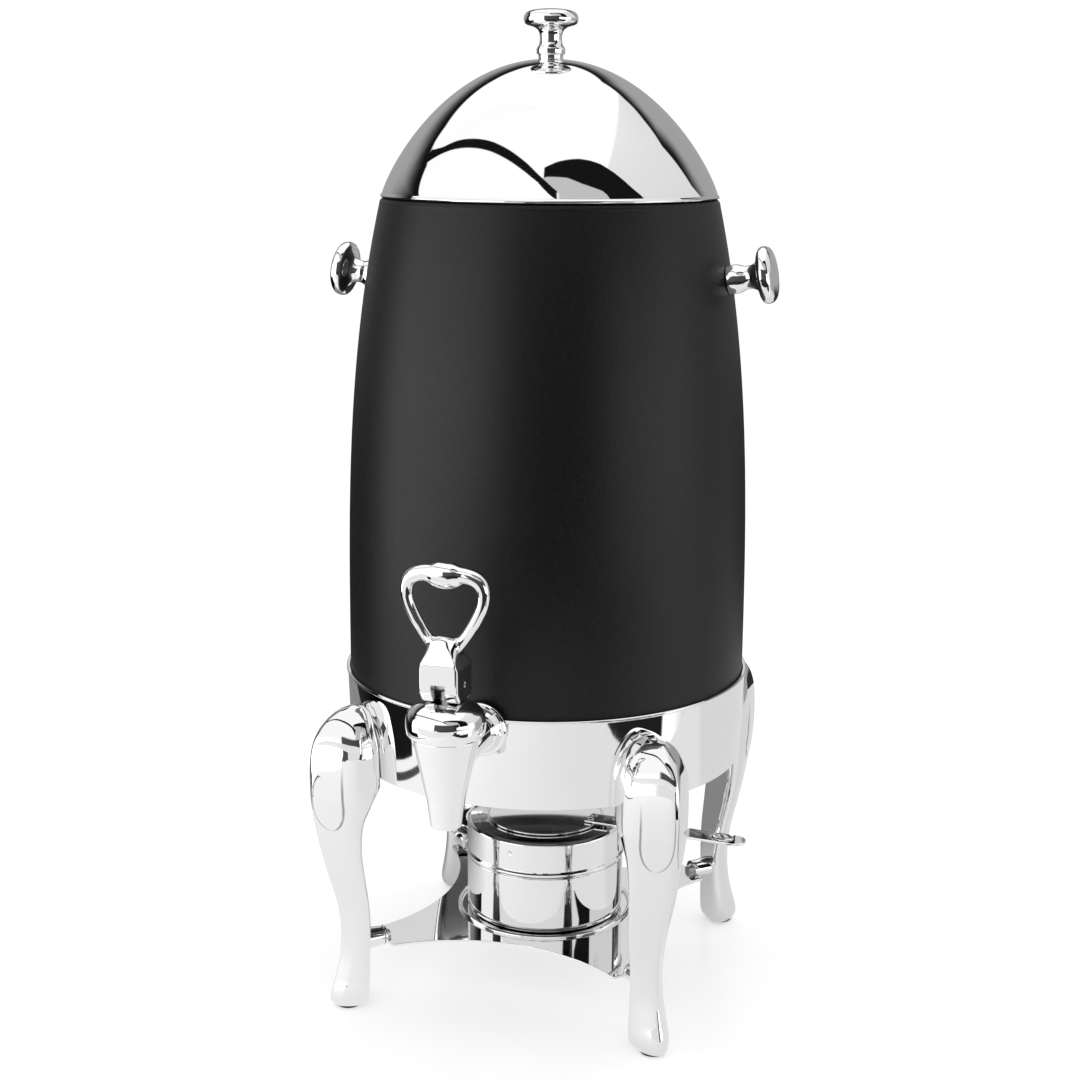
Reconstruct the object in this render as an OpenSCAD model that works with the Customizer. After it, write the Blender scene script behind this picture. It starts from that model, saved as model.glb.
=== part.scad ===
/* [Body] */
// Outside radius of the shell at its foot
shell_r = 140; // [136:1:141]
// How far the shell draws in between its foot and its top
shell_taper = 24.8; // [22:0.2:26]
// Wall thickness of the shell
shell_wall = 1.2; // [0.8:0.1:1.5]
// Gap from the outside of the shell to the outside of the tank
tank_inset = 9.2; // [8.8:0.1:10]
// Wall thickness of the tank
tank_wall = 1; // [0.6:0.1:1.2]

/* [Lid] */
// Outside radius of the dome at its rim
dome_r = 114.5; // [113:0.5:115]
// Height of the dome above the shell
dome_h = 91.5; // [80:0.5:95]
// Wall thickness of the dome
dome_wall = 1.1; // [0.8:0.1:1.5]

/* [Knobs] */
// Scale of the lid knob's outline across its axis
knob_w = 1; // [0.9:0.05:1.1]
// Scale of the side knobs' outline across their axis
side_knob_w = 1.04; // [0.96:0.02:1.1]
// Height of the right side knob above the floor
side_knob_z = 508; // [500:1:520]
// How much lower the left side knob sits
left_knob_drop = 4; // [0:0.5:6]

/* [Band] */
// Outside radius of the band at its top edge
band_r = 142; // [141.8:0.1:142.2]
// Wall thickness of the band
band_wall = 1.5; // [1.2:0.1:1.6]
// Height of the band's lower edge above the floor
band_low = 172; // [170:1:176]

/* [Faucet] */
// Distance from the urn's axis to the faucet's axis
faucet_y = 208; // [206:1:212]
// Height of the shank above the floor
shank_z = 227; // [226:0.5:228]
// Outside radius of the shank
shank_r = 9.5; // [9:0.1:9.6]
// Radius of the stem
stem_r = 3; // [2.8:0.1:3]
// Radius of the handle's pin
pin_r = 2; // [1.8:0.1:2.2]
// Running clearance on the radius of the stem and pins
run_gap = 0.05; // [0.03:0.01:0.08]

/* [Stand] */
// Radius from the urn's axis to the middle of each foot
foot_u = 156.5; // [155:0.5:158]
// Height of the shelf's upper face
shelf_z = 45.5; // [44:0.5:47]
// Thickness of the shelf
shelf_t = 2; // [1.5:0.1:2.5]

/* [Fuel holder] */
// Outside radius of the fuel cup
cup_r = 57; // [54:0.5:58]
// Height of the top face of the fuel holder's cover
cover_z = 114.5; // [112:0.5:116]
// Radius of the opening in the cover
cover_hole_r = 40; // [36:0.5:41]
// Radius of the damper disc
damper_r = 42.6; // [41.5:0.1:44]
// Reach of the damper's handle from the cup's axis
damper_reach = 152; // [140:1:153]

/* [Hidden] */
$fn = 96;

shell_z0 = 231;
shell_z1 = 558;
dome_z0 = 560;
knob_z = 650.9;
pin_z = 277;
pivot_x = 50;
swing = -5;
tab_u = 128.4;
leg_angles = [225, 315, 135, 45];

// Outside radius of the shell at height z
function r_shell(z) = shell_r - shell_taper * pow((z - shell_z0) / 327, 3);
// Outside radius of the band at height z
function r_band(z) = band_r - 2 * (shell_z0 - z) / 59;
// Radius of a dome of rim radius r and height h at height z above its rim
function r_dome(r, h, z) = r * pow(1 - pow(min(z / h, 1), 1.25), 0.48);
// Value at z on the curve through a table's rows [z, a, b, c, ...], column k
function row_at(t, z, i = 0) = (i >= len(t) - 2 || z <= t[i + 1][0]) ? i : row_at(t, z, i + 1);
function slope(t, i, k) = (i <= 0 || i >= len(t) - 1) ? 0 : (t[i + 1][k] - t[i - 1][k]) / (t[i + 1][0] - t[i - 1][0]);
function curve(t, z, k) =
    let (i = row_at(t, z), d = t[i + 1][0] - t[i][0], s = (z - t[i][0]) / d,
         m0 = slope(t, i, k) * d, m1 = slope(t, i + 1, k) * d)
    (2 * s * s * s - 3 * s * s + 1) * t[i][k] + (s * s * s - 2 * s * s + s) * m0
    + (-2 * s * s * s + 3 * s * s) * t[i + 1][k] + (s * s * s - s * s) * m1;

// A tube of the given radius along a closed or open run of points
module sweep(pts, radii, sides, closed) {
    n = len(pts);
    function at(i) = pts[closed ? (i + n) % n : max(0, min(n - 1, i))];
    function dirn(i) = let (d = at(i + 1) - at(i - 1)) d / norm(d);
    rings = [for (i = [0:n - 1]) let (t = dirn(i), side = cross(t, [0, 1, 0]), a = norm(side) > 0.2 ? side / norm(side) : [1, 0, 0], b = cross(a, t))
        for (j = [0:sides - 1]) pts[i] + radii[i] * (cos(360 * j / sides) * a + sin(360 * j / sides) * b)];
    last = closed ? n - 1 : n - 2;
    quads = [for (i = [0:last]) for (j = [0:sides - 1])
        [i * sides + j, i * sides + (j + 1) % sides, ((i + 1) % n) * sides + (j + 1) % sides, ((i + 1) % n) * sides + j]];
    caps = closed ? [] : [[for (j = [sides - 1:-1:0]) j], [for (j = [0:sides - 1]) (n - 1) * sides + j]];
    polyhedron(rings, concat(quads, caps), convexity = 10);
}

// A bore along -Y through the front wall at the shank's height
module front_bore(r) translate([0, -100, shank_z]) rotate([90, 0, 0]) cylinder(r = r, h = 80);

/* ---- body ---- */
module outer_shell() color("#262626") difference() {
    rotate_extrude() polygon(concat(
        [for (z = [224, 231, 255, 280, 305, 330, 355, 380, 405, 430, 450, 470, 490, 510, 525, 540, 550, 556]) [r_shell(z), z]],
        [[r_shell(556) - 0.4, 557.6], [r_shell(556) - 1.3, 558.9], [r_shell(556) - 2.6, 559.7], [r_shell(556) - 4.2, 560], [109.5, 560],
         [109.5, 560 - shell_wall], [r_shell(556) - 4.2, 560 - shell_wall], [r_shell(556) - 2.1, 557.8]],
        [for (z = [555, 550, 540, 525, 510, 490, 470, 450, 430, 405, 380, 355, 330, 305, 280, 255, 231, 224]) [r_shell(z) - shell_wall, z]]));
    front_bore(shank_r + 2);
    for (s = [-1, 1]) side_frame(s) translate([0, 0, -6]) cylinder(r = 2.6, h = 12);
}

// Frame on the shell's side wall, +Z along the knob's axis
function knob_at(s) = side_knob_z - (s < 0 ? left_knob_drop : 0);
function lean(z) = atan(3 * shell_taper * pow((z - shell_z0) / 327, 2) / 327);
module side_frame(s) translate([s * (r_shell(knob_at(s)) + 0.05), 0, knob_at(s)]) rotate([0, s * (90 - lean(knob_at(s))), 0]) children();

module inner_tank() color("silver") difference() {
    rotate_extrude() polygon(concat(
        [[0, 184], [60, 184.6], [112, 186.2], [124, 188.4], [129, 192.5]],
        [for (z = [200, 227, 255, 280, 305, 330, 355, 380, 405, 430, 450, 470, 490, 510, 525, 540, 550, 556]) [r_shell(z) - tank_inset, z]],
        [[112.6, 556.3], [112.6, 557.3], [r_shell(556) - tank_inset - tank_wall, 557.3]],
        [for (z = [550, 540, 525, 510, 490, 470, 450, 430, 405, 380, 355, 330, 305, 280, 255, 227, 201]) [r_shell(z) - tank_inset - tank_wall, z]],
        [[128, 193.5], [123.4, 189.6], [111.8, 187.5], [60, 185.8], [0, 185.2]]));
    front_bore(shank_r + 0.2);
}

module tank_rim_gasket() color("dimgray") rotate_extrude() translate([106.2, 557.3]) square([5, 1.5]);

module support_ring() color("silver") difference() {
    rotate_extrude() polygon([[r_shell(220) - tank_inset + 0.1, 220], [r_band(219) - band_wall - 0.1, 220],
        [r_band(223) - band_wall - 0.1, 223.8], [r_shell(224) - tank_inset + 0.1, 223.8]]);
    front_bore(15);
}

module base_band() color("gainsboro") difference() {
    rotate_extrude() polygon([[r_band(band_low) - band_wall, band_low], [r_band(band_low), band_low],
        [r_band(231), 231.3], [band_r + 0.9, 231.7], [band_r + 0.9, 233], [band_r, 233.4],
        [r_band(229) - band_wall, 233.4], [r_band(229) - band_wall, shell_z0]]);
    front_bore(shank_r + 2);
    for (a = leg_angles) rotate([0, 0, a]) for (z = [184, 207]) translate([130, 0, z]) rotate([0, 90, 0]) cylinder(r = 2.6, h = 16);
}

/* ---- knobs ---- */
knob_outline = [[0, 0], [8.4, 0], [9.4, 0.7], [9.6, 2], [9.6, 7], [9.1, 8.4], [8, 10.4], [7.6, 12.6], [7.6, 14.6], [8, 17], [9.3, 19.2],
    [11.8, 20.7], [15, 21.5], [17.3, 22.7], [18.2, 24.5], [18.3, 26.4], [17.8, 28.4], [16.4, 30.2], [13.6, 31.4], [9, 32.2], [4, 32.5], [0, 32.6]];
module knob(w) color("gainsboro") difference() {
    rotate_extrude() polygon([for (p = knob_outline) [p[0] * w, p[1]]]);
    translate([0, 0, -1]) cylinder(r = 2.5, h = 15);
}
module side_knob_left() side_frame(-1) knob(side_knob_w);
module side_knob_right() side_frame(1) knob(side_knob_w);
module side_knob_studs() color("silver") for (s = [-1, 1]) side_frame(s) translate([0, 0, -4]) {
    cylinder(r = 2.5, h = 17.5);
    translate([0, 0, -2]) cylinder(r = 4.5, h = 2, $fn = 6);
}
module side_knob_washers() color("silver") for (s = [-1, 1]) side_frame(s) translate([0, 0, -3.9]) difference() {
    cylinder(r = 7, h = 2.4);
    translate([0, 0, -1]) cylinder(r = 2.6, h = 5);
}

/* ---- stand ---- */
// Rows: height, outermost radius, innermost radius, half width, sharpness of the corners
leg_rows = [[1.8, 167, 146, 10.5, 3], [5, 169.4, 144.2, 13.6, 3.4], [11, 169.2, 144, 14.8, 4], [22, 166, 143.6, 13.8, 4.5], [38, 162.2, 143, 12.3, 5],
    [54, 161, 142.6, 12, 6], [68, 161.9, 143.2, 13.4, 6], [80, 164, 144.8, 15.4, 6], [100, 169.8, 148.2, 18.2, 6], [120, 174.8, 150.6, 20, 6],
    [140, 178.8, 149.6, 21.4, 7], [152, 180.4, 145, 23, 8], [160, 181.1, 142.2, 24, 8], [182, 181.2, 142.2, 24, 8], [194, 179.6, 142.2, 23.4, 7],
    [204, 175.2, 142.2, 20.8, 5], [212, 168.2, 142.2, 16.4, 4], [217.4, 159.6, 142.2, 10.4, 3], [219.6, 152, 142.4, 5, 3]];
leg_levels = [1.8, 3, 5, 8, 14, 22, 30, 42, 54, 64, 74, 86, 100, 114, 128, 140, 150, 156, 161, 172, 182, 190, 197, 202, 207, 211, 214.2, 216.8, 218.6, 219.6];
leg_sides = 24;
// Distance to a rounded five-sided outline in direction a, from half sizes f (outer faces), w (sides), b (back)
function spread(a, f, w, b, p) = 1 / pow(
    pow(max(0, cos(a - 45)) / f, p) + pow(max(0, cos(a + 45)) / f, p)
    + pow(abs(sin(a)) / w, p) + pow(max(0, -cos(a)) / b, p), 1 / p);
function leg_ring(z) =
    let (u1 = curve(leg_rows, z, 1), u0 = curve(leg_rows, z, 2), w = curve(leg_rows, z, 3), p = curve(leg_rows, z, 4),
         c = u0 + (u1 - u0) * 0.42, f = (u1 - c) * cos(45) * pow(2, 1 / p))
    [for (j = [0:leg_sides - 1]) let (a = 360 * j / leg_sides, d = spread(a, f, w, c - u0, p),
        u = c + d * cos(a), v = d * sin(a), low = z > 158 ? sqrt(pow(r_band(z) + 0.2, 2) - v * v) : 0) [max(u, low), v, z]];
module leg_loft() {
    rings = [for (z = leg_levels) each leg_ring(z)];
    n = len(leg_levels);
    quads = [for (i = [0:n - 2]) for (j = [0:leg_sides - 1])
        [i * leg_sides + j, (i + 1) * leg_sides + j, (i + 1) * leg_sides + (j + 1) % leg_sides, i * leg_sides + (j + 1) % leg_sides]];
    polyhedron(rings, concat(quads, [[for (j = [0:leg_sides - 1]) j], [for (j = [leg_sides - 1:-1:0]) (n - 1) * leg_sides + j]]), convexity = 8);
}
module leg(a) color("gainsboro") rotate([0, 0, a]) difference() {
    union() {
        leg_loft();
        translate([tab_u + 1.7, 0, 46.5]) rotate([0, 90, 0]) cylinder(r1 = 6.6, r2 = 8.2, h = 20);
    }
    translate([foot_u, 0, 0]) cylinder(r = 8.4, h = 5);
    for (z = [184, 207]) translate([136, 0, z]) rotate([0, 90, 0]) cylinder(r = 2.55, h = 22);
    translate([tab_u, 0, 46.5]) rotate([0, 90, 0]) cylinder(r = 2.55, h = 18);
}
module leg_front_left() leg(225);
module leg_front_right() leg(315);
module leg_rear_left() leg(135);
module leg_rear_right() leg(45);

module leg_screws() color("silver") for (a = leg_angles) rotate([0, 0, a]) for (z = [184, 207]) translate([0, 0, z]) rotate([0, 90, 0]) {
    translate([0, 0, 137.6]) cylinder(r = 2.5, h = 19.4);
    translate([0, 0, r_band(z) - band_wall - 3.4]) cylinder(r = 4.4, h = 3.1);
}

module foot_pads() color("#1a1a1a") for (a = leg_angles) rotate([0, 0, a]) translate([foot_u, 0, 0]) cylinder(r = 8.3, h = 4.9);

module shelf_plate() color("gainsboro") difference() {
    union() {
        translate([0, 0, shelf_z - shelf_t]) linear_extrude(shelf_t) difference() {
            rotate(45) square(2 * (tab_u + 0.6), center = true);
            for (a = [0:90:270]) rotate(a) translate([205, 0]) circle(r = 130);
            for (a = [0:90:270]) rotate(a) translate([150, 0]) square([100, 100], center = true);
        }
        for (a = leg_angles) rotate([0, 0, a]) translate([tab_u, 0, 46.5]) rotate([0, 90, 0]) cylinder(r = 7, h = 1.5);
    }
    for (a = leg_angles) rotate([0, 0, a]) translate([tab_u - 2, 0, 46.5]) rotate([0, 90, 0]) cylinder(r = 2.6, h = 5);
    for (a = leg_angles) rotate([0, 0, a]) translate([tab_u - 6, 0, 46.5]) rotate([0, 90, 0]) cylinder(r = 4.8, h = 6);
}

module shelf_locating_ring() color("gainsboro") rotate_extrude() polygon([[60.9, shelf_z], [63.9, shelf_z], [63.9, shelf_z + 1.2],
    [63.4, shelf_z + 2.1], [62.4, shelf_z + 2.5], [61.4, shelf_z + 2.1], [60.9, shelf_z + 1.2]]);

module shelf_screws() color("silver") for (a = leg_angles) rotate([0, 0, a]) translate([0, 0, 46.5]) rotate([0, 90, 0]) {
    translate([0, 0, tab_u - 1]) cylinder(r = 2.5, h = 17);
    translate([0, 0, tab_u - 3.6]) cylinder(r1 = 3.2, r2 = 4.5, h = 3.5);
}

/* ---- faucet ---- */
module along_y(y) translate([0, y, shank_z]) rotate([90, 0, 0]) children();

module faucet_shank() color("silver") difference() {
    along_y(-112) cylinder(r = shank_r, h = 74);
    along_y(-100) cylinder(r = 7, h = 90);
}
module faucet_flange() color("gainsboro") difference() {
    along_y(-143.1) rotate_extrude() polygon([[shank_r + 0.1, 0], [17.6, 0], [18, 0.8], [18, 2.6], [17.2, 3.6], [15.6, 4.2], [14.6, 6.4], [13.2, 8.6], [shank_r + 0.1, 10]]);
}
module shank_spacer() color("whitesmoke") difference() {
    along_y(-131.1) cylinder(r = 14, h = 6.7);
    along_y(-130) cylinder(r = shank_r + 0.1, h = 10);
}
module shank_seal_washer() color("whitesmoke") difference() {
    along_y(-126.6) cylinder(r = 14, h = 2.2);
    along_y(-120) cylinder(r = shank_r + 0.1, h = 12);
}
module shank_nut() color("silver") difference() {
    along_y(-117.5) cylinder(r = 15, h = 9, $fn = 6);
    along_y(-112) cylinder(r = shank_r + 0.05, h = 16);
}

module faucet_body() color("gainsboro") difference() {
    union() {
        translate([0, -faucet_y, 0]) rotate_extrude() polygon([[0, 184.5], [9, 184.5], [9.6, 185.2], [12.1, 203], [16.4, 222], [21, 241.4], [21.3, 243], [20.9, 244], [0, 244]]);
        along_y(-154) cylinder(r = 12.4, h = 42);
    }
    translate([0, -faucet_y, 214]) cylinder(r = 12, h = 40);
    translate([0, -faucet_y, 180]) cylinder(r = 7, h = 40);
    along_y(-150) cylinder(r = shank_r + 0.05, h = 36.1);
    along_y(-150) cylinder(r = 7, h = 56);
}
module bonnet_cap() color("gainsboro") translate([0, -faucet_y, 0]) difference() {
    rotate_extrude() polygon([[0, 236], [11.9, 236], [11.9, 244.1], [23.2, 244.1], [24.8, 245.4], [25.2, 247], [25.2, 257.5], [24.4, 260.6], [22.4, 263.4], [19.6, 265.4], [16, 266.3], [0, 266.4]]);
    translate([0, 0, 230]) cylinder(r = stem_r + run_gap, h = 50);
    translate([0, 0, 230]) cylinder(r = 8, h = 26);
}
module valve_stem() color("silver") translate([0, -faucet_y, 0]) difference() {
    union() {
        translate([0, 0, 218]) cylinder(r = stem_r, h = pin_z - 218);
        translate([-4.2, 0, pin_z]) rotate([0, 90, 0]) cylinder(r = 5.8, h = 8.4);
    }
    translate([-6, 0, pin_z]) rotate([0, 90, 0]) cylinder(r = pin_r + run_gap, h = 12);
}
module seat_cup() color("whitesmoke") translate([0, -faucet_y, 0]) difference() {
    rotate_extrude() polygon([[0, 214.3], [10.4, 214.3], [10.8, 215.2], [10.2, 219], [8.4, 223], [6.8, 226], [0, 226]]);
    translate([0, 0, 218]) cylinder(r = stem_r, h = 20);
}
spring_turns = 6;
module stem_spring() color("silver") translate([0, -faucet_y, 0])
    sweep([for (i = [0:spring_turns * 14]) let (a = 360 * i / 14) [5.4 * cos(a), 5.4 * sin(a), 227 + 27.8 * i / (spring_turns * 14)]],
        [for (i = [0:spring_turns * 14]) 0.7], 6, false);

module handle_pin() color("silver") translate([-12, -faucet_y, pin_z]) rotate([0, 90, 0]) cylinder(r = pin_r, h = 24);

// Right half of the handle loop's centre line, from the bottom up, and its bar radius
loop_half = [[0, 297.5, 6], [6.5, 300, 4.6], [12, 305.5, 3.8], [16.6, 312, 3.6], [20.4, 318.8, 3.6], [23.4, 325.6, 3.7], [24.6, 331.4, 3.8],
    [24.2, 337, 4.1], [21.6, 341.6, 4.6], [17.6, 344, 4.9], [13, 345, 5.1], [8.6, 345.4, 5.6], [5.6, 345.4, 7.2], [2.8, 345, 8.4]];
loop_run = concat(loop_half, [[0, 345, 8.8]], [for (i = [len(loop_half) - 1:-1:1]) [-loop_half[i][0], loop_half[i][1], loop_half[i][2]]]);
module faucet_handle() color("gainsboro") translate([0, -faucet_y, 0]) union() {
    difference() {
        rotate([90, 0, 90]) translate([0, 0, -12.4]) linear_extrude(24.8)
            polygon([[-13.5, 275], [-13.5, 295], [-9.5, 301], [-1, 301.5], [13.5, 289], [13.5, 269], [11.5, 266.8], [-8, 266.8]]);
        translate([-13.4, 0, pin_z]) rotate([0, 90, 0]) cylinder(r = pin_r, h = 26.8);
        translate([-4.6, 0, pin_z]) rotate([0, 90, 0]) cylinder(r = 6.4, h = 9.2);
        translate([-4.6, -20, 260]) cube([9.2, 26, 19]);
    }
    sweep([for (p = loop_run) [p[0], 0, p[1]]], [for (p = loop_run) p[2]], 12, true);
}

/* ---- lid ---- */
dome_steps = [2.6, 6, 12, 18, 24, 30, 36, 42, 48, 54, 60, 65, 70, 75, 79, 82.5, 85.5, 88, 89.8];
module dome_cover() color("gainsboro") difference() {
    rotate_extrude() polygon(concat([[dome_r - 2.6, dome_z0 + 0.3], [dome_r + 0.1, dome_z0 + 0.3], [dome_r + 0.5, dome_z0 + 1.2], [dome_r + 0.1, dome_z0 + 2.1]],
        [for (h = dome_steps) [r_dome(dome_r, dome_h, h), dome_z0 + h]],
        [[9.8, knob_z], [0, knob_z], [0, knob_z - dome_wall], [9.4, knob_z - dome_wall]],
        [for (i = [len(dome_steps) - 2:-1:0]) [r_dome(dome_r - dome_wall, dome_h - dome_wall, dome_steps[i]), dome_z0 + dome_steps[i]]],
        [[dome_r - 2.6, dome_z0 + 1.6]]));
    translate([0, 0, knob_z - 6]) cylinder(r = 2.6, h = 12);
}
module lid_skirt_ring() color("silver") rotate_extrude() polygon([[103.4, 549], [104.2, 549], [104.2, 560.4], [111.8, 560.4], [111.8, 561.2], [103.4, 561.2]]);
module lid_knob() translate([0, 0, knob_z]) knob(knob_w);
module lid_knob_screw() color("silver") translate([0, 0, knob_z - dome_wall - 1.6]) {
    cylinder(r = 2.5, h = 16);
    translate([0, 0, -3]) cylinder(r = 4.6, h = 3);
}
module lid_knob_washer() color("silver") translate([0, 0, knob_z - dome_wall - 1.5]) difference() {
    cylinder(r = 8, h = 1.5);
    translate([0, 0, -1]) cylinder(r = 2.55, h = 4);
}

/* ---- fuel holder ---- */
module fuel_cup() color("gainsboro") rotate_extrude() polygon([[0, shelf_z + 0.3], [53, shelf_z + 0.3], [55.6, shelf_z + 1.4], [cup_r, shelf_z + 4.2], [cup_r, 87.5], [55.6, 88.2],
    [55.6, 98], [54.7, 98], [54.7, 87.9], [56, 87.2], [56, shelf_z + 4.6], [55, shelf_z + 2.4], [52.8, shelf_z + 1.3], [0, shelf_z + 1.3]]);
module fuel_cover() color("gainsboro") difference() {
    rotate_extrude() polygon([[56, 88.7], [cup_r + 0.6, 88.7], [cup_r + 1.2, 89.6], [cup_r + 1.2, 91], [cup_r + 0.6, 91.9], [cup_r, 92.2],
        [cup_r, cover_z - 2.2], [cup_r - 0.7, cover_z - 0.7], [cup_r - 2.2, cover_z], [cover_hole_r, cover_z], [cover_hole_r, cover_z - 1], [cup_r - 2.4, cover_z - 1], [56, cover_z - 2.6]]);
    rotate([0, 0, swing]) translate([pivot_x, 0, cover_z - 5]) cylinder(r = pin_r, h = 8);
}
module damper_pivot() color("silver") rotate([0, 0, swing]) translate([pivot_x, 0, 0]) {
    translate([0, 0, cover_z - 3]) cylinder(r = pin_r, h = 7.5);
    translate([0, 0, cover_z - 3]) cylinder(r = 3.8, h = 2);
    translate([0, 0, cover_z]) cylinder(r = 3.6, h = 1.3);
    translate([0, 0, cover_z + 4]) cylinder(r1 = 4, r2 = 3, h = 1.2);
}
module damper_disc() color("gainsboro") difference() {
    rotate_extrude() polygon([[0, cover_z + 0.4], [damper_r - 0.3, cover_z + 0.4], [damper_r, cover_z + 0.8], [damper_r, cover_z + 1.5], [damper_r - 0.4, cover_z + 2],
        [damper_r - 1.2, cover_z + 2], [damper_r - 1.6, cover_z + 1.4], [0, cover_z + 1.4]]);
    rotate([0, 0, swing]) translate([32, -8.3, cover_z + 1.4]) cube([20, 16.6, 2]);
    for (y = [-4, 4]) rotate([0, 0, swing]) translate([37, y, cover_z - 1]) cylinder(r = 1.5, h = 5);
}
module damper_handle() color("gainsboro") rotate([0, 0, swing]) difference() {
    union() {
        translate([34, -8, cover_z + 1.6]) linear_extrude(2) union() {
            square([damper_reach - 34 - 8, 16]);
            translate([damper_reach - 34 - 8, 8]) circle(r = 8);
        }
        translate([damper_reach - 16, 0, cover_z + 3.6]) difference() {
            cylinder(r = 7, h = 1.2);
            translate([0, 0, -1]) cylinder(r = 5.6, h = 4);
        }
    }
    translate([pivot_x, 0, cover_z]) cylinder(r = pin_r + run_gap, h = 8);
    for (y = [-4, 4]) translate([37, y, cover_z - 1]) cylinder(r = 1.5, h = 5);
}
module damper_rivets() color("silver") rotate([0, 0, swing]) for (y = [-4, 4]) translate([37, y, cover_z + 0.5]) {
    cylinder(r = 1.5, h = 3.2);
    translate([0, 0, 3.1]) cylinder(r1 = 2.6, r2 = 2, h = 0.8);
}

outer_shell();
inner_tank();
tank_rim_gasket();
support_ring();
base_band();
leg_front_left();
leg_front_right();
leg_rear_left();
leg_rear_right();
leg_screws();
foot_pads();
shelf_plate();
shelf_locating_ring();
shelf_screws();
side_knob_left();
side_knob_right();
side_knob_studs();
side_knob_washers();
faucet_shank();
faucet_flange();
shank_spacer();
shank_seal_washer();
shank_nut();
faucet_body();
bonnet_cap();
valve_stem();
seat_cup();
stem_spring();
handle_pin();
faucet_handle();
dome_cover();
lid_skirt_ring();
lid_knob();
lid_knob_screw();
lid_knob_washer();
fuel_cup();
fuel_cover();
damper_pivot();
damper_disc();
damper_handle();
damper_rivets();
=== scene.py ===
"""Coffee urn: finished surfaces, stage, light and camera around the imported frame. Lengths in the mesh code are millimetres."""
import bpy, bmesh, math
import numpy as np
from mathutils import Matrix, Vector


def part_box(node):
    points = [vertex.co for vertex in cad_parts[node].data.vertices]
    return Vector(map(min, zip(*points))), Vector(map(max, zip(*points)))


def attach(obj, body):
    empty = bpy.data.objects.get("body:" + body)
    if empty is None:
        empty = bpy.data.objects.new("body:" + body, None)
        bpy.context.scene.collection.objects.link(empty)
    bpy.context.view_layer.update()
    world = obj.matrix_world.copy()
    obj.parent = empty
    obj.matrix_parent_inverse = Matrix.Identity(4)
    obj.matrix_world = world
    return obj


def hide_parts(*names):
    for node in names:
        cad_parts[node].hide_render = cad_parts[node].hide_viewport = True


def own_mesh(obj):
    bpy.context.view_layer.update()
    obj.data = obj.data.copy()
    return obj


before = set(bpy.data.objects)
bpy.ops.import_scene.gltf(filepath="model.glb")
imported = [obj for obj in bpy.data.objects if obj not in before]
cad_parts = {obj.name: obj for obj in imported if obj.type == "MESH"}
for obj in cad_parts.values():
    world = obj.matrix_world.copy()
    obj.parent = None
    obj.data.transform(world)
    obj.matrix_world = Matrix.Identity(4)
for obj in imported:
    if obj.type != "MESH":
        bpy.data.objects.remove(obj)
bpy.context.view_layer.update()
scene = bpy.context.scene
MM = 0.001


# ---------------------------------------------------------------- mesh tools
def rounded(points, closed=True, steps=5):
    """A profile whose corners (x, y, radius) are rounded off with arcs."""
    out, n = [], len(points)
    for i, p in enumerate(points):
        rad = p[2] if len(p) > 2 else 0
        b = Vector(p[:2])
        if not rad or (not closed and i in (0, n - 1)):
            out.append((b.x, b.y))
            continue
        a, c = Vector(points[i - 1][:2]), Vector(points[(i + 1) % n][:2])
        u, v = (a - b), (c - b)
        lu, lv = u.length, v.length
        u.normalize(), v.normalize()
        ang = math.acos(max(-1, min(1, u.dot(v))))
        if ang > 3.12 or ang < 0.02:
            out.append((b.x, b.y))
            continue
        d = min(rad / math.tan(ang / 2), 0.48 * lu, 0.48 * lv)
        r = d * math.tan(ang / 2)
        m = (u + v).normalized()
        o = b + m * (r / math.sin(ang / 2))
        s, e = b + u * d - o, b + v * d - o
        a0, a1 = math.atan2(s.y, s.x), math.atan2(e.y, e.x)
        turn = (a1 - a0 + math.pi) % (2 * math.pi) - math.pi
        for k in range(steps + 1):
            t = a0 + turn * k / steps
            out.append((o.x + r * math.cos(t), o.y + r * math.sin(t)))
    return out


def spline(points, per=8, closed=False):
    """A smooth run of points through the given ones (centripetal Catmull-Rom), any dimension."""
    P = [np.array(p, float) for p in points]
    n, out = len(P), []
    last = n if closed else n - 1
    for i in range(last):
        p1, p2 = P[i], P[(i + 1) % n]
        p0 = P[(i - 1) % n] if closed or i > 0 else 2 * p1 - p2
        p3 = P[(i + 2) % n] if closed or i < n - 2 else 2 * p2 - p1
        t0 = 0.0
        t1 = t0 + max(1e-6, np.linalg.norm(p1 - p0)) ** 0.5
        t2 = t1 + max(1e-6, np.linalg.norm(p2 - p1)) ** 0.5
        t3 = t2 + max(1e-6, np.linalg.norm(p3 - p2)) ** 0.5
        for k in range(per):
            t = t1 + (t2 - t1) * k / per
            a1 = (t1 - t) / (t1 - t0) * p0 + (t - t0) / (t1 - t0) * p1
            a2 = (t2 - t) / (t2 - t1) * p1 + (t - t1) / (t2 - t1) * p2
            a3 = (t3 - t) / (t3 - t2) * p2 + (t - t2) / (t3 - t2) * p3
            b1 = (t2 - t) / (t2 - t0) * a1 + (t - t0) / (t2 - t0) * a2
            b2 = (t3 - t) / (t3 - t1) * a2 + (t - t1) / (t3 - t1) * a3
            out.append((t2 - t) / (t2 - t1) * b1 + (t - t1) / (t2 - t1) * b2)
    if not closed:
        out.append(P[-1])
    return np.array(out)


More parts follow.
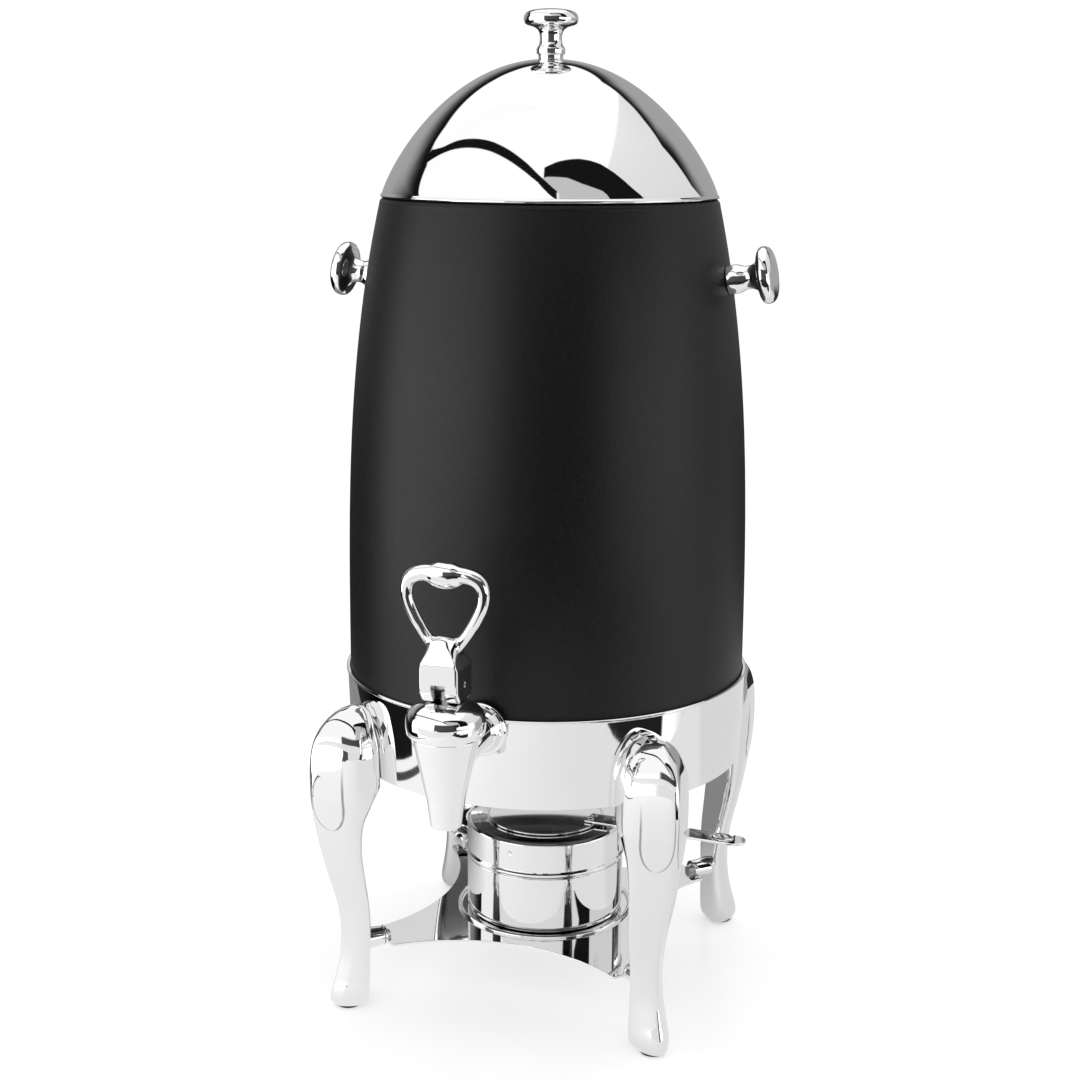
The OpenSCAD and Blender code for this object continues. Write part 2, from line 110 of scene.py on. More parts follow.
def lathe(profile, segs=160, closed=True):
    """(vertices, faces) of a profile [(r, z), ...] turned about Z. A point on the axis becomes one vertex."""
    ang = np.arange(segs) * 2 * math.pi / segs
    ca, sa = np.cos(ang), np.sin(ang)
    verts, rows = [], []
    for p in profile:
        r, z = float(p[0]), float(p[1])
        if r < 1e-6:
            rows.append([len(verts)])
            verts.append((0.0, 0.0, z))
        else:
            rows.append(list(range(len(verts), len(verts) + segs)))
            verts.extend(zip(r * ca, r * sa, [z] * segs))
    faces, n = [], len(rows)
    for i in range(n if closed else n - 1):
        a, b = rows[i], rows[(i + 1) % n]
        if len(a) == 1 and len(b) == 1:
            continue
        for j in range(segs):
            k = (j + 1) % segs
            if len(a) == 1:
                faces.append((a[0], b[k], b[j]))
            elif len(b) == 1:
                faces.append((a[j], a[k], b[0]))
            else:
                faces.append((a[j], a[k], b[k], b[j]))
    return np.array(verts, float), faces


def loft(rings, cap=True):
    """(vertices, faces) through rings of equally many points. A ring of one point closes that end."""
    verts, rows = [], []
    for r in rings:
        rows.append(list(range(len(verts), len(verts) + len(r))))
        verts.extend([tuple(p) for p in r])
    faces = []
    for a, b in zip(rows[:-1], rows[1:]):
        n = max(len(a), len(b))
        for j in range(n):
            k = (j + 1) % n
            if len(a) == 1:
                faces.append((a[0], b[k], b[j]))
            elif len(b) == 1:
                faces.append((a[j], a[k], b[0]))
            else:
                faces.append((a[j], a[k], b[k], b[j]))
    if cap:
        if len(rows[0]) > 2:
            faces.append(tuple(reversed(rows[0])))
        if len(rows[-1]) > 2:
            faces.append(tuple(rows[-1]))
    return np.array(verts, float), faces


def outline_in(pts, d):
    """A closed 2-D outline (counter-clockwise) moved inwards by d."""
    P = np.array(pts, float)
    e = np.roll(P, -1, 0) - P
    e /= np.linalg.norm(e, axis=1)[:, None] + 1e-12
    nrm = np.stack([-e[:, 1], e[:, 0]], 1)
    m = nrm + np.roll(nrm, 1, 0)
    m /= np.linalg.norm(m, axis=1)[:, None] + 1e-12
    c = np.clip((m * nrm).sum(1), 0.35, 1)
    return P + m * (d / c)[:, None]


def prism(outline, z0, z1, bevel=0.3, steps=3):
    """(vertices, faces) of an outline stood up from z0 to z1 with its edges rolled over."""
    rings = []
    for k in range(steps + 1):
        t = math.pi / 2 * k / steps
        rings.append([(x, y, z0 + bevel * (1 - math.sin(t))) for x, y in outline_in(outline, bevel * (1 - math.cos(math.pi / 2 - t)))])
    rings = rings[::-1]
    low = [[(x, y, z0 + bevel * (1 - math.cos(t))) for x, y in outline_in(outline, bevel * (1 - math.sin(t)))]
           for t in [math.pi / 2 * k / steps for k in range(steps + 1)]]
    high = [[(x, y, z1 - bevel * (1 - math.cos(t))) for x, y in outline_in(outline, bevel * (1 - math.sin(t)))]
            for t in [math.pi / 2 * k / steps for k in range(steps, -1, -1)]]
    return loft(low + high)


def tube(points, radii, sides=32, closed=False, flat=1.0, up=(0, 1, 0)):
    """(vertices, faces) of a round bar along points. flat scales it along up."""
    P = [np.array(p, float) for p in points]
    n, up = len(P), np.array(up, float)
    rings = []
    for i in range(n):
        a = P[(i - 1) % n] if closed or i > 0 else P[i]
        b = P[(i + 1) % n] if closed or i < n - 1 else P[i]
        t = (b - a) / np.linalg.norm(b - a)
        s = np.cross(t, up)
        s /= np.linalg.norm(s)
        w = np.cross(s, t)
        rings.append([P[i] + radii[i] * (math.cos(q) * s + flat * math.sin(q) * w) for q in [2 * math.pi * j / sides for j in range(sides)]])
    if closed:
        rings.append(rings[0])
        v, f = loft(rings, cap=False)
        return v, f
    return loft(rings)


def moved(part, matrix):
    v, f = part
    m = np.array(matrix)
    return v @ m[:3, :3].T + m[:3, 3], f


def combine(*parts):
    vs, fs, o = [], [], 0
    for v, f in parts:
        vs.append(np.asarray(v, float))
        fs += [tuple(i + o for i in q) for q in f]
        o += len(v)
    return np.vstack(vs), fs


def shade(me, sharp):
    me.shade_smooth()
    me.set_sharp_from_angle(angle=math.radians(sharp))


def make(name, part, mat=None, sharp=34.0, outward=True):
    """A mesh object, in metres, from vertices and faces in millimetres."""
    v, f = part
    me = bpy.data.meshes.new(name)
    me.from_pydata([tuple(p) for p in np.asarray(v, float) * MM], [], f)
    bm = bmesh.new()
    bm.from_mesh(me)
    bmesh.ops.remove_doubles(bm, verts=bm.verts, dist=2e-7)
    if outward:
        bmesh.ops.recalc_face_normals(bm, faces=bm.faces)
    bm.to_mesh(me)
    bm.free()
    shade(me, sharp)
    ob = bpy.data.objects.new(name, me)
    scene.collection.objects.link(ob)
    if mat:
        me.materials.append(mat)
    return ob


def settle(ob):
    """Applies ob's modifiers to its mesh."""
    bpy.context.view_layer.update()
    me = bpy.data.meshes.new_from_object(ob.evaluated_get(bpy.context.evaluated_depsgraph_get()))
    old = ob.data
    ob.modifiers.clear()
    ob.data = me
    bpy.data.meshes.remove(old)
    return ob


def join_solid(ob, cutter, how="DIFFERENCE", sharp=34.0):
    """An exact boolean with another object, which is then removed."""
    m = ob.modifiers.new("solid", "BOOLEAN")
    m.operation, m.object, m.solver = how, cutter, "EXACT"
    settle(ob)
    bpy.data.objects.remove(cutter)
    shade(ob.data, sharp)
    return ob


def seal(ob, sharp):
    """Welds the points that booleans leave apart by rounding, and closes the slits."""
    bm = bmesh.new()
    bm.from_mesh(ob.data)
    bmesh.ops.remove_doubles(bm, verts=bm.verts, dist=1e-7)
    bmesh.ops.dissolve_degenerate(bm, dist=1e-7, edges=bm.edges)
    bmesh.ops.triangulate(bm, faces=[f for f in bm.faces if len(f.verts) > 4])
    bmesh.ops.holes_fill(bm, edges=[e for e in bm.edges if len(e.link_faces) == 1], sides=0)
    bm.to_mesh(ob.data)
    bm.free()
    shade(ob.data, sharp)
    return ob


def relax(ob, weight, rounds):
    """Evens out a mesh where weight(points in millimetres) is above 0."""
    me = ob.data
    n = len(me.vertices)
    co = np.zeros(n * 3)
    me.vertices.foreach_get("co", co)
    co = co.reshape(-1, 3)
    e = np.zeros(len(me.edges) * 2, int)
    me.edges.foreach_get("vertices", e)
    a, b = e[0::2], e[1::2]
    count = np.maximum(1, np.bincount(np.concatenate([a, b]), minlength=n))
    w = weight(co / MM)[:, None]
    for _ in range(rounds):
        mean = np.stack([np.bincount(a, co[b, k], n) + np.bincount(b, co[a, k], n) for k in range(3)], 1) / count[:, None]
        co = co + w * 0.8 * (mean - co)
    me.vertices.foreach_set("co", co.ravel())
    me.update()
    return ob


def even(ob):
    """Shading normals weighted by face area, so that flats stay flat beside small radii."""
    m = ob.modifiers.new("normals", "WEIGHTED_NORMAL")
    m.mode, m.weight, m.keep_sharp = "FACE_AREA", 50, True
    return ob


def place(ob, body, slot, *nodes):
    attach(ob, body)
    if nodes:
        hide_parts(*nodes)
    return ob


def rod(r, h, at=(0, 0, 0), axis="Z", r2=None, segs=64):
    """A plain cutter."""
    r2 = r if r2 is None else r2
    part = lathe([(0, 0), (r, 0), (r2, h), (0, h)], segs)
    rot = {"Z": Matrix.Identity(4), "X": Matrix.Rotation(math.pi / 2, 4, "Y"), "-Y": Matrix.Rotation(math.pi / 2, 4, "X")}[axis]
    return moved(part, Matrix.Translation(at) @ rot)


def block(lo, hi):
    x, y, z = zip(lo, hi)
    v = [(x[i], y[j], z[k]) for i in (0, 1) for j in (0, 1) for k in (0, 1)]
    f = [(0, 1, 3, 2), (4, 6, 7, 5), (0, 4, 5, 1), (2, 3, 7, 6), (0, 2, 6, 4), (1, 5, 7, 3)]
    return np.array(v, float), f


def smooth(t):
    t = np.clip(t, 0, 1)
    return t * t * (3 - 2 * t)


# ---------------------------------------------------------------- materials
def new_material(name):
    m = bpy.data.materials.new(name)
    m.use_nodes = True
    return m, m.node_tree, m.node_tree.nodes["Principled BSDF"]


def node(nt, kind, **sets):
    n = nt.nodes.new(kind)
    for k, v in sets.items():
        if hasattr(n, k):
            setattr(n, k, v)
        else:
            n.inputs[k].default_value = v
    return n


def noise(nt, scale, detail=3.0, rough=0.55, stretch=None):
    tc = nt.nodes.new("ShaderNodeTexCoord")
    n = nt.nodes.new("ShaderNodeTexNoise")
    n.inputs["Scale"].default_value = scale
    n.inputs["Detail"].default_value = detail
    n.inputs["Roughness"].default_value = rough
    if stretch:
        mp = nt.nodes.new("ShaderNodeMapping")
        mp.inputs["Scale"].default_value = stretch
        nt.links.new(tc.outputs["Object"], mp.inputs["Vector"])
        nt.links.new(mp.outputs["Vector"], n.inputs["Vector"])
    else:
        nt.links.new(tc.outputs["Object"], n.inputs["Vector"])
    return n.outputs["Fac"]


def ranged(nt, value, lo, hi, a=0.3, b=0.7):
    n = nt.nodes.new("ShaderNodeMapRange")
    for i, v in (("From Min", a), ("From Max", b), ("To Min", lo), ("To Max", hi)):
        n.inputs[i].default_value = v
    nt.links.new(value, n.inputs["Value"])
    return n.outputs["Result"]


def ramp(nt, value, c0, c1, p0=0.3, p1=0.7):
    n = nt.nodes.new("ShaderNodeValToRGB")
    n.color_ramp.elements[0].position, n.color_ramp.elements[0].color = p0, (*c0, 1)
    n.color_ramp.elements[1].position, n.color_ramp.elements[1].color = p1, (*c1, 1)
    nt.links.new(value, n.inputs["Fac"])
    return n.outputs["Color"]


def bump(nt, bsdf, layers):
    """Bump layers [(value, strength, distance in metres)], one on another."""
    last = None
    for value, strength, dist in layers:
        n = nt.nodes.new("ShaderNodeBump")
        n.inputs["Strength"].default_value = strength
        n.inputs["Distance"].default_value = dist
        nt.links.new(value, n.inputs["Height"])
        if last:
            nt.links.new(last, n.inputs["Normal"])
        last = n.outputs["Normal"]
    nt.links.new(last, bsdf.inputs["Normal"])


def polished(name, grey=0.9, rough=(0.018, 0.04), wave=0.0, wave_scale=28.0, scratch=0.02):
    """Mirror-polished metal: faint smears in the gloss, hairlines, and a slow wave where it is cast."""
    m, nt, b = new_material(name)
    b.inputs["Metallic"].default_value = 1.0
    smear = noise(nt, 22.0, 4.0, 0.6)
    nt.links.new(ramp(nt, smear, (grey * 0.985,) * 3, (grey, grey, grey * 1.003)), b.inputs["Base Color"])
    nt.links.new(ranged(nt, smear, *rough), b.inputs["Roughness"])
    layers = [(noise(nt, 900.0, 2.0, 0.5), scratch, 0.00002)]
    if wave:
        layers.insert(0, (noise(nt, wave_scale, 1.0, 0.4), wave, 0.002))
    bump(nt, b, layers)
    return m


def brushed(name, grey=0.6, rough=(0.24, 0.38), stretch=(1, 1, 60)):
    """Plain worked steel with fine lines one way and a little stain."""
    m, nt, b = new_material(name)
    b.inputs["Metallic"].default_value = 1.0
    lines = noise(nt, 60.0, 5.0, 0.7, stretch)
    stain = noise(nt, 30.0, 3.0, 0.6)
    nt.links.new(ramp(nt, stain, (grey * 0.88, grey * 0.88, grey * 0.87), (grey, grey, grey * 1.01)), b.inputs["Base Color"])
    nt.links.new(ranged(nt, lines, *rough), b.inputs["Roughness"])
    bump(nt, b, [(lines, 0.12, 0.0002)])
    return m


def coated(name):
    """Satin black coating: fine orange-peel grain, slow change in gloss."""
    m, nt, b = new_material(name)
    grain = noise(nt, 520.0, 4.0, 0.65)
    cloud = noise(nt, 9.0, 3.0, 0.5)
    nt.links.new(ramp(nt, grain, (0.0004, 0.0004, 0.0005), (0.0036, 0.0036, 0.0038), 0.36, 0.64), b.inputs["Base Color"])
    nt.links.new(ranged(nt, cloud, 0.40, 0.44), b.inputs["Roughness"])
    b.inputs["Specular IOR Level"].default_value = 0.32
    bump(nt, b, [(noise(nt, 300.0, 2.0, 0.5), 0.12, 0.0003), (grain, 0.45, 0.0002)])
    return m


def soft_plastic(name, colour, rough=(0.5, 0.65), scale=500.0, clear=0.0):
    m, nt, b = new_material(name)
    n = noise(nt, scale, 3.0, 0.6)
    dark = tuple(c * 0.85 for c in colour)
    nt.links.new(ramp(nt, n, dark, colour), b.inputs["Base Color"])
    nt.links.new(ranged(nt, n, *rough), b.inputs["Roughness"])
    if clear:
        b.inputs["Subsurface Weight"].default_value = clear
        b.inputs["Subsurface Scale"].default_value = 0.002
    bump(nt, b, [(n, 0.2, 0.0002)])
    return m


M_SHELL = coated("black_coating")
M_STEEL = polished("polished_steel", 0.9, (0.016, 0.034), 0.0)
M_BAND = polished("polished_band", 0.86, (0.02, 0.045), 0.0)
M_CAST = polished("plated_casting", 0.91, (0.02, 0.045), 0.05, 30.0)
# the legs get a darker copy of the plated casting: painted shade
M_LEG_PAINTED_SHADE = polished("plated_leg_painted_shade", 0.84, (0.02, 0.045), 0.05, 30.0)
M_CUP = polished("polished_cup", 0.84, (0.03, 0.06), 0.0)
M_PLAIN = brushed("plain_steel")
# the tank's outside is nearly black: painted shade under the urn, on plain stainless steel
M_TANK_PAINTED_SHADE = brushed("tank_steel_painted_dark", 0.14, (0.24, 0.36), (1, 1, 40))
M_INSIDE = brushed("tank_inside_steel", 0.92, (0.26, 0.34), (1, 1, 12))
M_RUBBER = soft_plastic("black_rubber", (0.016, 0.016, 0.017), (0.6, 0.8), 700.0)
M_SILICONE = soft_plastic("silicone", (0.72, 0.72, 0.7), (0.35, 0.5), 400.0, 0.3)


def paint_panel_edge_shade(mat):
    """Painted shade: a thin darker line painted round the shield panel on each outer face of a leg, standing in for the
    shade and dark reflection along the panel's raised edge; worked out from the object's coordinates.
    """
    nt = mat.node_tree

    def m(op, a, b=None, c=None):
        n = nt.nodes.new("ShaderNodeMath")
        n.operation = op
        for i, v in enumerate((a, b, c)):
            if isinstance(v, (int, float)):
                n.inputs[i].default_value = v
            elif v is not None:
                nt.links.new(v, n.inputs[i])
        return n.outputs[0]
    sep = nt.nodes.new("ShaderNodeSeparateXYZ")
    nt.links.new(nt.nodes.new("ShaderNodeTexCoord").outputs["Object"], sep.inputs[0])
    x, y = m("ABSOLUTE", sep.outputs[0]), m("ABSOLUTE", sep.outputs[1])
    z = m("MULTIPLY", sep.outputs[2], 1000.0)
    v = m("MULTIPLY", m("ABSOLUTE", m("SUBTRACT", y, x)), 707.1)
    u = m("MULTIPLY", m("ADD", y, x), 707.1)
    up = m("DIVIDE", m("SUBTRACT", z, 136.0), 24.0)
    up = m("MINIMUM", m("MAXIMUM", up, 0.0), 1.0)
    hw = m("MULTIPLY", m("SQRT", m("SUBTRACT", 1.0, m("POWER", m("SUBTRACT", 1.0, up), 2.4))), 11.2)
    off = m("SUBTRACT", hw, m("MULTIPLY", m("ABSOLUTE", m("SUBTRACT", v, 9.6)), 1.35))
    # line: the mask of the painted shade along the panel's raised edge
    line = ranged(nt, m("ABSOLUTE", off), 1.0, 0.0, 0.25, 0.75)
    line = m("MULTIPLY", line, ranged(nt, z, 0.0, 1.0, 135.7, 136.6))
    line = m("MULTIPLY", line, ranged(nt, z, 1.0, 0.0, 166.0, 184.0))
    line = m("MULTIPLY", line, ranged(nt, u, 0.0, 1.0, 158.0, 160.0))
    b = nt.nodes["Principled BSDF"]
    old = b.inputs["Base Color"].links[0].from_socket
    mix = nt.nodes.new("ShaderNodeMix")
    mix.data_type = "RGBA"
    nt.links.new(m("MULTIPLY", line, 0.72), mix.inputs[0])
    nt.links.new(old, mix.inputs[6])
    # the dark grey of the painted edge shade, mixed into the leg's colour
    mix.inputs[7].default_value = (0.16, 0.16, 0.165, 1)
    nt.links.new(mix.outputs[2], b.inputs["Base Color"])


paint_panel_edge_shade(M_LEG_PAINTED_SHADE)


# ---------------------------------------------------------------- shapes shared with the construction
def r_shell(z):
    return 140 - 24.8 * ((z - 231) / 327) ** 3


def r_band(z):
    return 142 - 2 * (231 - z) / 59


def r_dome(r, h, z):
    return r * (1 - min(z / h, 1) ** 1.25) ** 0.48


FAUCET = Matrix.Translation((0, -208, 0))
LEGS = (("front_left", 225), ("front_right", 315), ("rear_left", 135), ("rear_right", 45))


def along_y(y, z=227.0):
    return Matrix.Translation((0, y, z)) @ Matrix.Rotation(math.pi / 2, 4, "X")


def side_frame(s):
    z = 504.0 if s < 0 else 508.0
    lean = math.atan(3 * 24.8 * ((z - 231) / 327) ** 2 / 327)
    return Matrix.Translation((s * (r_shell(z) + 0.05), 0, z)) @ Matrix.Rotation(s * (math.pi / 2 - lean), 4, "Y")


# ---------------------------------------------------------------- shell, tank, band
def build_shell():
    out = [(r_shell(z), z) for z in np.linspace(224, 555.6, 130)]
    R, turn = r_shell(555.8), np.linspace(0, math.pi / 2, 13)
    top = [(R - 4.2 + 4.2 * math.cos(t), 555.8 + 4.2 * math.sin(t)) for t in turn]
    top += rounded([(R - 4.2, 560), (109.5, 560, 0.35), (109.5, 558.8, 0.35), (R - 4.2, 558.8)], False, 5)[1:-1]
    top += [(R - 4.2 + 3.0 * math.cos(t), 555.8 + 3.0 * math.sin(t)) for t in turn[::-1]]
    ins = [(r_shell(z) - 1.2, z) for z in np.linspace(555.2, 224, 60)]
    ob = make("outer_shell_finish", lathe(out + top + ins, 288), M_SHELL, 40)
    join_solid(ob, make("c", rod(11.5, 80, (0, -100, 227), "-Y")), sharp=40)
    for s in (-1, 1):
        c = moved(lathe([(0, -6), (2.6, -6), (2.6, 6), (0, 6)], 40), side_frame(s))
        join_solid(ob, make("c", c), sharp=40)
    place(even(ob), "urn_body", "black_coating", "outer_shell")


def build_tank():
    low = [(0, 184), (60, 184.6), (112, 186.2), (124, 188.4, 6), (129, 192.5, 6)]
    out = rounded(low + [(r_shell(200) - 9.2, 200)], False, 6)
    out += [(r_shell(z) - 9.2, z) for z in np.linspace(206, 553, 90)]
    lip = rounded([(r_shell(553) - 9.2, 553), (r_shell(556) - 9.2, 556.3, 1.0), (112.6, 556.3, 0.3), (112.6, 557.3, 0.3), (r_shell(556) - 10.2, 557.3, 1.2), (r_shell(552) - 10.2, 552)], False, 6)[1:-1]
    ins = [(r_shell(z) - 10.2, z) for z in np.linspace(551, 206, 90)]
    bot = rounded([(r_shell(206) - 10.2, 206), (128, 193.5, 6), (123.4, 189.6, 6), (111.8, 187.5), (60, 185.8), (0, 185.2)], False, 6)[1:]
    ob = make("inner_tank_finish", lathe(out + lip + ins + bot, 224), M_TANK_PAINTED_SHADE, 40)
    join_solid(ob, make("c", rod(9.7, 80, (0, -100, 227), "-Y")), sharp=40)
    place(even(ob), "urn_body", "plain_steel", "inner_tank")
    # the tank's wet side is bright steel; its outside is painted nearly black as painted shade under the urn
    ob.data.materials.append(M_INSIDE)
    for p in ob.data.polygons:
        if p.normal.z > 0.5 or p.normal.dot(Vector((p.center.x, p.center.y, 0)).normalized()) < -0.3:
            p.material_index = 1
    ob = make("lid_skirt_ring_finish", lathe(rounded([(103.4, 549, 0.3), (104.2, 549, 0.3), (104.2, 560.4, 0.4), (111.8, 560.4, 0.3), (111.8, 561.2, 0.3), (103.4, 561.2, 0.8)]), 224), M_PLAIN)
    place(even(ob), "lid", "plain_steel", "lid_skirt_ring")


def build_band():
    rb = r_band
    out = [(rb(z), z) for z in np.linspace(176, 226, 14)]
    prof = rounded([(rb(172) - 1.5, 172, 0.35), (rb(172), 172, 0.45), (rb(175), 175)], False, 5) + out
    prof += rounded([(rb(230), 230), (142.0, 231.4, 0.6), (142.9, 231.8, 0.5), (142.9, 232.9, 0.5), (142.2, 233.4, 0.5), (rb(229) - 1.5, 233.4, 0.4), (rb(229) - 1.5, 231), (rb(226) - 1.5, 226)], False, 6)[:-1]
    prof += [(rb(z) - 1.5, z) for z in np.linspace(226, 176, 14)]
    ob = make("base_band_finish", lathe(prof, 320), M_BAND, 36)
    join_solid(ob, make("c", rod(11.5, 80, (0, -100, 227), "-Y")), sharp=36)
    for _, a in LEGS:
        for z in (184, 207):
            c = moved(rod(2.6, 16, (130, 0, z), "X", segs=32), Matrix.Rotation(math.radians(a), 4, "Z"))
            join_solid(ob, make("c", c), sharp=36)
    place(even(ob), "urn_body", "polished_steel", "base_band")


# ---------------------------------------------------------------- knobs and lid
KNOB_FOOT = [(8.0, 0.0), (8.3, 0.2), (8.35, 1.2), (8.35, 2.3), (8.6, 2.9), (9.3, 3.3), (9.6, 4.0), (9.65, 6.4), (9.35, 7.4), (8.5, 8.6), (7.8, 10.2), (7.5, 12.2)]
SIDE_FOOT = [(9.5, 0.0), (9.75, 0.2), (9.8, 1.2), (9.75, 4.0), (9.6, 6.4), (9.2, 8.2), (8.5, 10.2), (7.8, 12.2)]
KNOB_HEAD = [(7.5, 14.4), (7.9, 16.8), (8.9, 18.8), (10.8, 20.3), (13.4, 21.2), (15.9, 21.9), (17.6, 23.1), (18.3, 25.0), (18.2, 27.0), (17.3, 29.2),
             (15.2, 30.8), (12.0, 31.7), (8.0, 32.3), (4.0, 32.55), (0.0, 32.6)]


def knob(foot, wide=1.0):
    prof = [(0.0, 0.0)] + [tuple(p) for p in spline(foot + [(r * wide, z) for r, z in KNOB_HEAD], 5)]
    prof = [(max(0.0, r), z) for r, z in prof]
    prof[-1] = (0.0, 32.6)
    return lathe(prof, 144, closed=False)


def build_knobs():
    place(even(make("lid_knob_finish", moved(knob(KNOB_FOOT), Matrix.Translation((0, 0, 650.9))), M_CAST, 45)), "lid", "plated_casting", "lid_knob")
    for s, name in ((-1, "side_knob_left"), (1, "side_knob_right")):
        place(even(make(name + "_finish", moved(knob(SIDE_FOOT, 1.035), side_frame(s)), M_CAST, 45)), "urn_body", "plated_casting", name)


def build_dome():
    h, R, z0, wall = 91.5, 114.5, 560.0, 1.1
    hs = 89.9 * (1 - np.cos(np.linspace(0.16, math.pi / 2, 110)) ** 1.25)
    rim = rounded([(R - 2.6, z0 + 0.3, 0.3), (R + 0.1, z0 + 0.3, 0.6), (R + 0.5, z0 + 1.2, 0.7), (R + 0.1, z0 + 2.1, 0.7)], False, 6)
    out = [(r_dome(R, h, x), z0 + x) for x in hs if x > 2.8]
    out += [(r, z0 + h * (1 - (r / R) ** (1 / 0.48)) ** 0.8) for r in np.linspace(out[-1][0], 8.2, 26)[1:]]
    out = [(r, z - 0.3 * (1 - (r / R) ** 2) ** 2) for r, z in out]
    top = [(3.0, 650.9)]
    inner_top = [(3.0, 649.8), (9.4, 649.8)]
    ins = [(r_dome(R - wall, h - wall, x), z0 + x) for x in hs[::-1] if x > 2.8 and x < 88.4]
    prof = rim + out + top + inner_top + ins + [(R - 2.6, z0 + 1.6)]
    ob = make("dome_cover_finish", lathe(prof, 320), M_STEEL, 40)
    place(even(ob), "lid", "polished_steel", "dome_cover")


# ---------------------------------------------------------------- legs
LEG_ROWS = np.array([[1.8, 167, 146, 10.5, 3], [5, 169.4, 144.2, 13.6, 3.4], [11, 169.2, 144, 14.8, 4], [22, 166, 143.6, 13.8, 4.5], [38, 162.2, 143, 12.3, 5],
    [54, 161, 142.6, 12, 6], [68, 161.9, 143.2, 13.4, 6], [80, 164, 144.8, 15.4, 6], [100, 169.8, 148.2, 18.2, 6], [120, 174.8, 150.6, 20, 6],
    [140, 178.8, 149.6, 21.4, 7], [152, 180.4, 145, 23, 8], [160, 181.1, 142.2, 24, 8], [182, 181.2, 142.2, 24, 8], [194, 179.6, 142.2, 23.4, 7],
    [204, 175.2, 142.2, 20.8, 5], [212, 168.2, 142.2, 16.4, 4], [217.4, 159.6, 142.2, 10.4, 3], [219.6, 152, 142.4, 5, 3]])


def leg_row(z):
    """Outermost, innermost, half width and corner sharpness of a leg at height z, on the same curve as the construction's."""
    t = LEG_ROWS
    i = int(np.clip(np.searchsorted(t[:, 0], z) - 1, 0, len(t) - 2))
    d = t[i + 1, 0] - t[i, 0]
    s = (z - t[i, 0]) / d

    def slope(k):
        return np.zeros(4) if k <= 0 or k >= len(t) - 1 else (t[k + 1, 1:] - t[k - 1, 1:]) / (t[k + 1, 0] - t[k - 1, 0])
    m0, m1 = slope(i) * d, slope(i + 1) * d
    return (2 * s**3 - 3 * s**2 + 1) * t[i, 1:] + (s**3 - 2 * s**2 + s) * m0 + (-2 * s**3 + 3 * s**2) * t[i + 1, 1:] + (s**3 - s**2) * m1


def leg_mesh(sides=216):
    zs = np.concatenate([[1.8, 2.1, 2.5, 3.0], np.linspace(3.6, 12, 9), np.linspace(13, 189, 164), np.linspace(190, 213, 36), np.linspace(213.4, 219.5, 16)])
    rings = []
    a = np.arange(sides) * 2 * math.pi / sides
    for z in zs:
        u1, u0, w, p = leg_row(z)
        u0 -= 4.0 * float(smooth((z - 156) / 12.0)) * float(1 - smooth((z - 215.6) / 4.0))
        c = u0 + (u1 - u0) * 0.42
        if z > 150:
            c = 142.2 + (u1 - 142.2) * 0.42 if z > 160 else c
        f, b = (u1 - c) * math.cos(math.pi / 4) * 2 ** (1 / p), c - u0
        d = (np.maximum(0, np.cos(a - math.pi / 4)) / f) ** p + (np.maximum(0, np.cos(a + math.pi / 4)) / f) ** p \
            + (np.abs(np.sin(a)) / w) ** p + (np.maximum(0, -np.cos(a)) / b) ** p
        d = d ** (-1 / p)
        u, v = c + d * np.cos(a), d * np.sin(a)
        # raised shield panel on each outer face, round below and running out upwards
        t = (np.abs(v) - 9.6) * 1.35
        up = np.clip((z - 136.0) / 24.0, 0, 1)
        hw = 11.2 * (1 - (1 - up) ** 2.4) ** 0.5 if up > 0 else 0.0
        if up > 0:
            mask = smooth((hw - np.abs(t)) / 0.9 + 0.5) * (np.cos(a) > 0.25) * (1 - float(smooth((z - 168.0) / 26.0)))
            u, v = u + 0.42 * mask * 0.707, v + 0.42 * mask * 0.707 * np.sign(v)
        rings.append(np.stack([u, v, np.full(sides, z)], 1))
    last = rings[-1]
    mid = last.mean(0)
    for q in (22.5, 45, 67.5):
        k = math.cos(math.radians(q))
        rings.append((last - mid) * [k, k, 1] + mid + [0, 0, 1.1 * math.sin(math.radians(q))])
    rings.append(np.array([mid + [0, 0, 1.1]]))
    return loft(rings)


def build_legs():
    ob = make("leg", leg_mesh(), None, 60)
    seat = lathe([(100, 140)] + [(r_band(z) + 0.15, z) for z in np.linspace(140, 230, 9)] + [(100, 230)], 720)
    join_solid(ob, make("c", seat), sharp=34)
    boss = lathe(rounded([(0, 0), (6.6, 0, 0.9), (7.3, 8), (7.9, 14.5, 6), (10.6, 19.6), (0, 19.6)], True, 8), 96)
    boss = moved(boss, Matrix.Translation((130.1, 0, 46.5)) @ Matrix.Rotation(math.pi / 2, 4, "Y"))
    join_solid(ob, make("c", boss), "UNION", 34)
    cuts = [rod(8.4, 6, (156.5, 0, -1)), rod(2.55, 19, (127.4, 0, 46.5), "X")] + [rod(2.55, 22, (136, 0, z), "X") for z in (184, 207)]
    for c in cuts:
        join_solid(ob, make("c", c), sharp=34)
    me = ob.data
    co = np.zeros(len(me.vertices) * 3)
    me.vertices.foreach_get("co", co)
    co = co.reshape(-1, 3) / MM
    faces = [tuple(p.vertices) for p in me.polygons]
    bpy.data.objects.remove(ob)
    for name, a in LEGS:
        leg = make("leg_" + name + "_finish", moved((co, faces), Matrix.Rotation(math.radians(a), 4, "Z")), M_LEG_PAINTED_SHADE, 34)
        place(leg, "urn_body", "plated_casting", "leg_" + name)
    pads = []
    for _, a in LEGS:
        p = lathe(rounded([(0, 0.25), (3, 0.25, 0.2), (3.4, 0, 0.2), (8.3, 0, 0.7), (8.3, 4.9, 0.4), (0, 4.9)]), 64)
        pads.append(moved(p, Matrix.Rotation(math.radians(a), 4, "Z") @ Matrix.Translation((156.5, 0, 0))))
    place(even(make("foot_pads_finish", combine(*pads), M_RUBBER)), "urn_body", "black_rubber", "foot_pads")


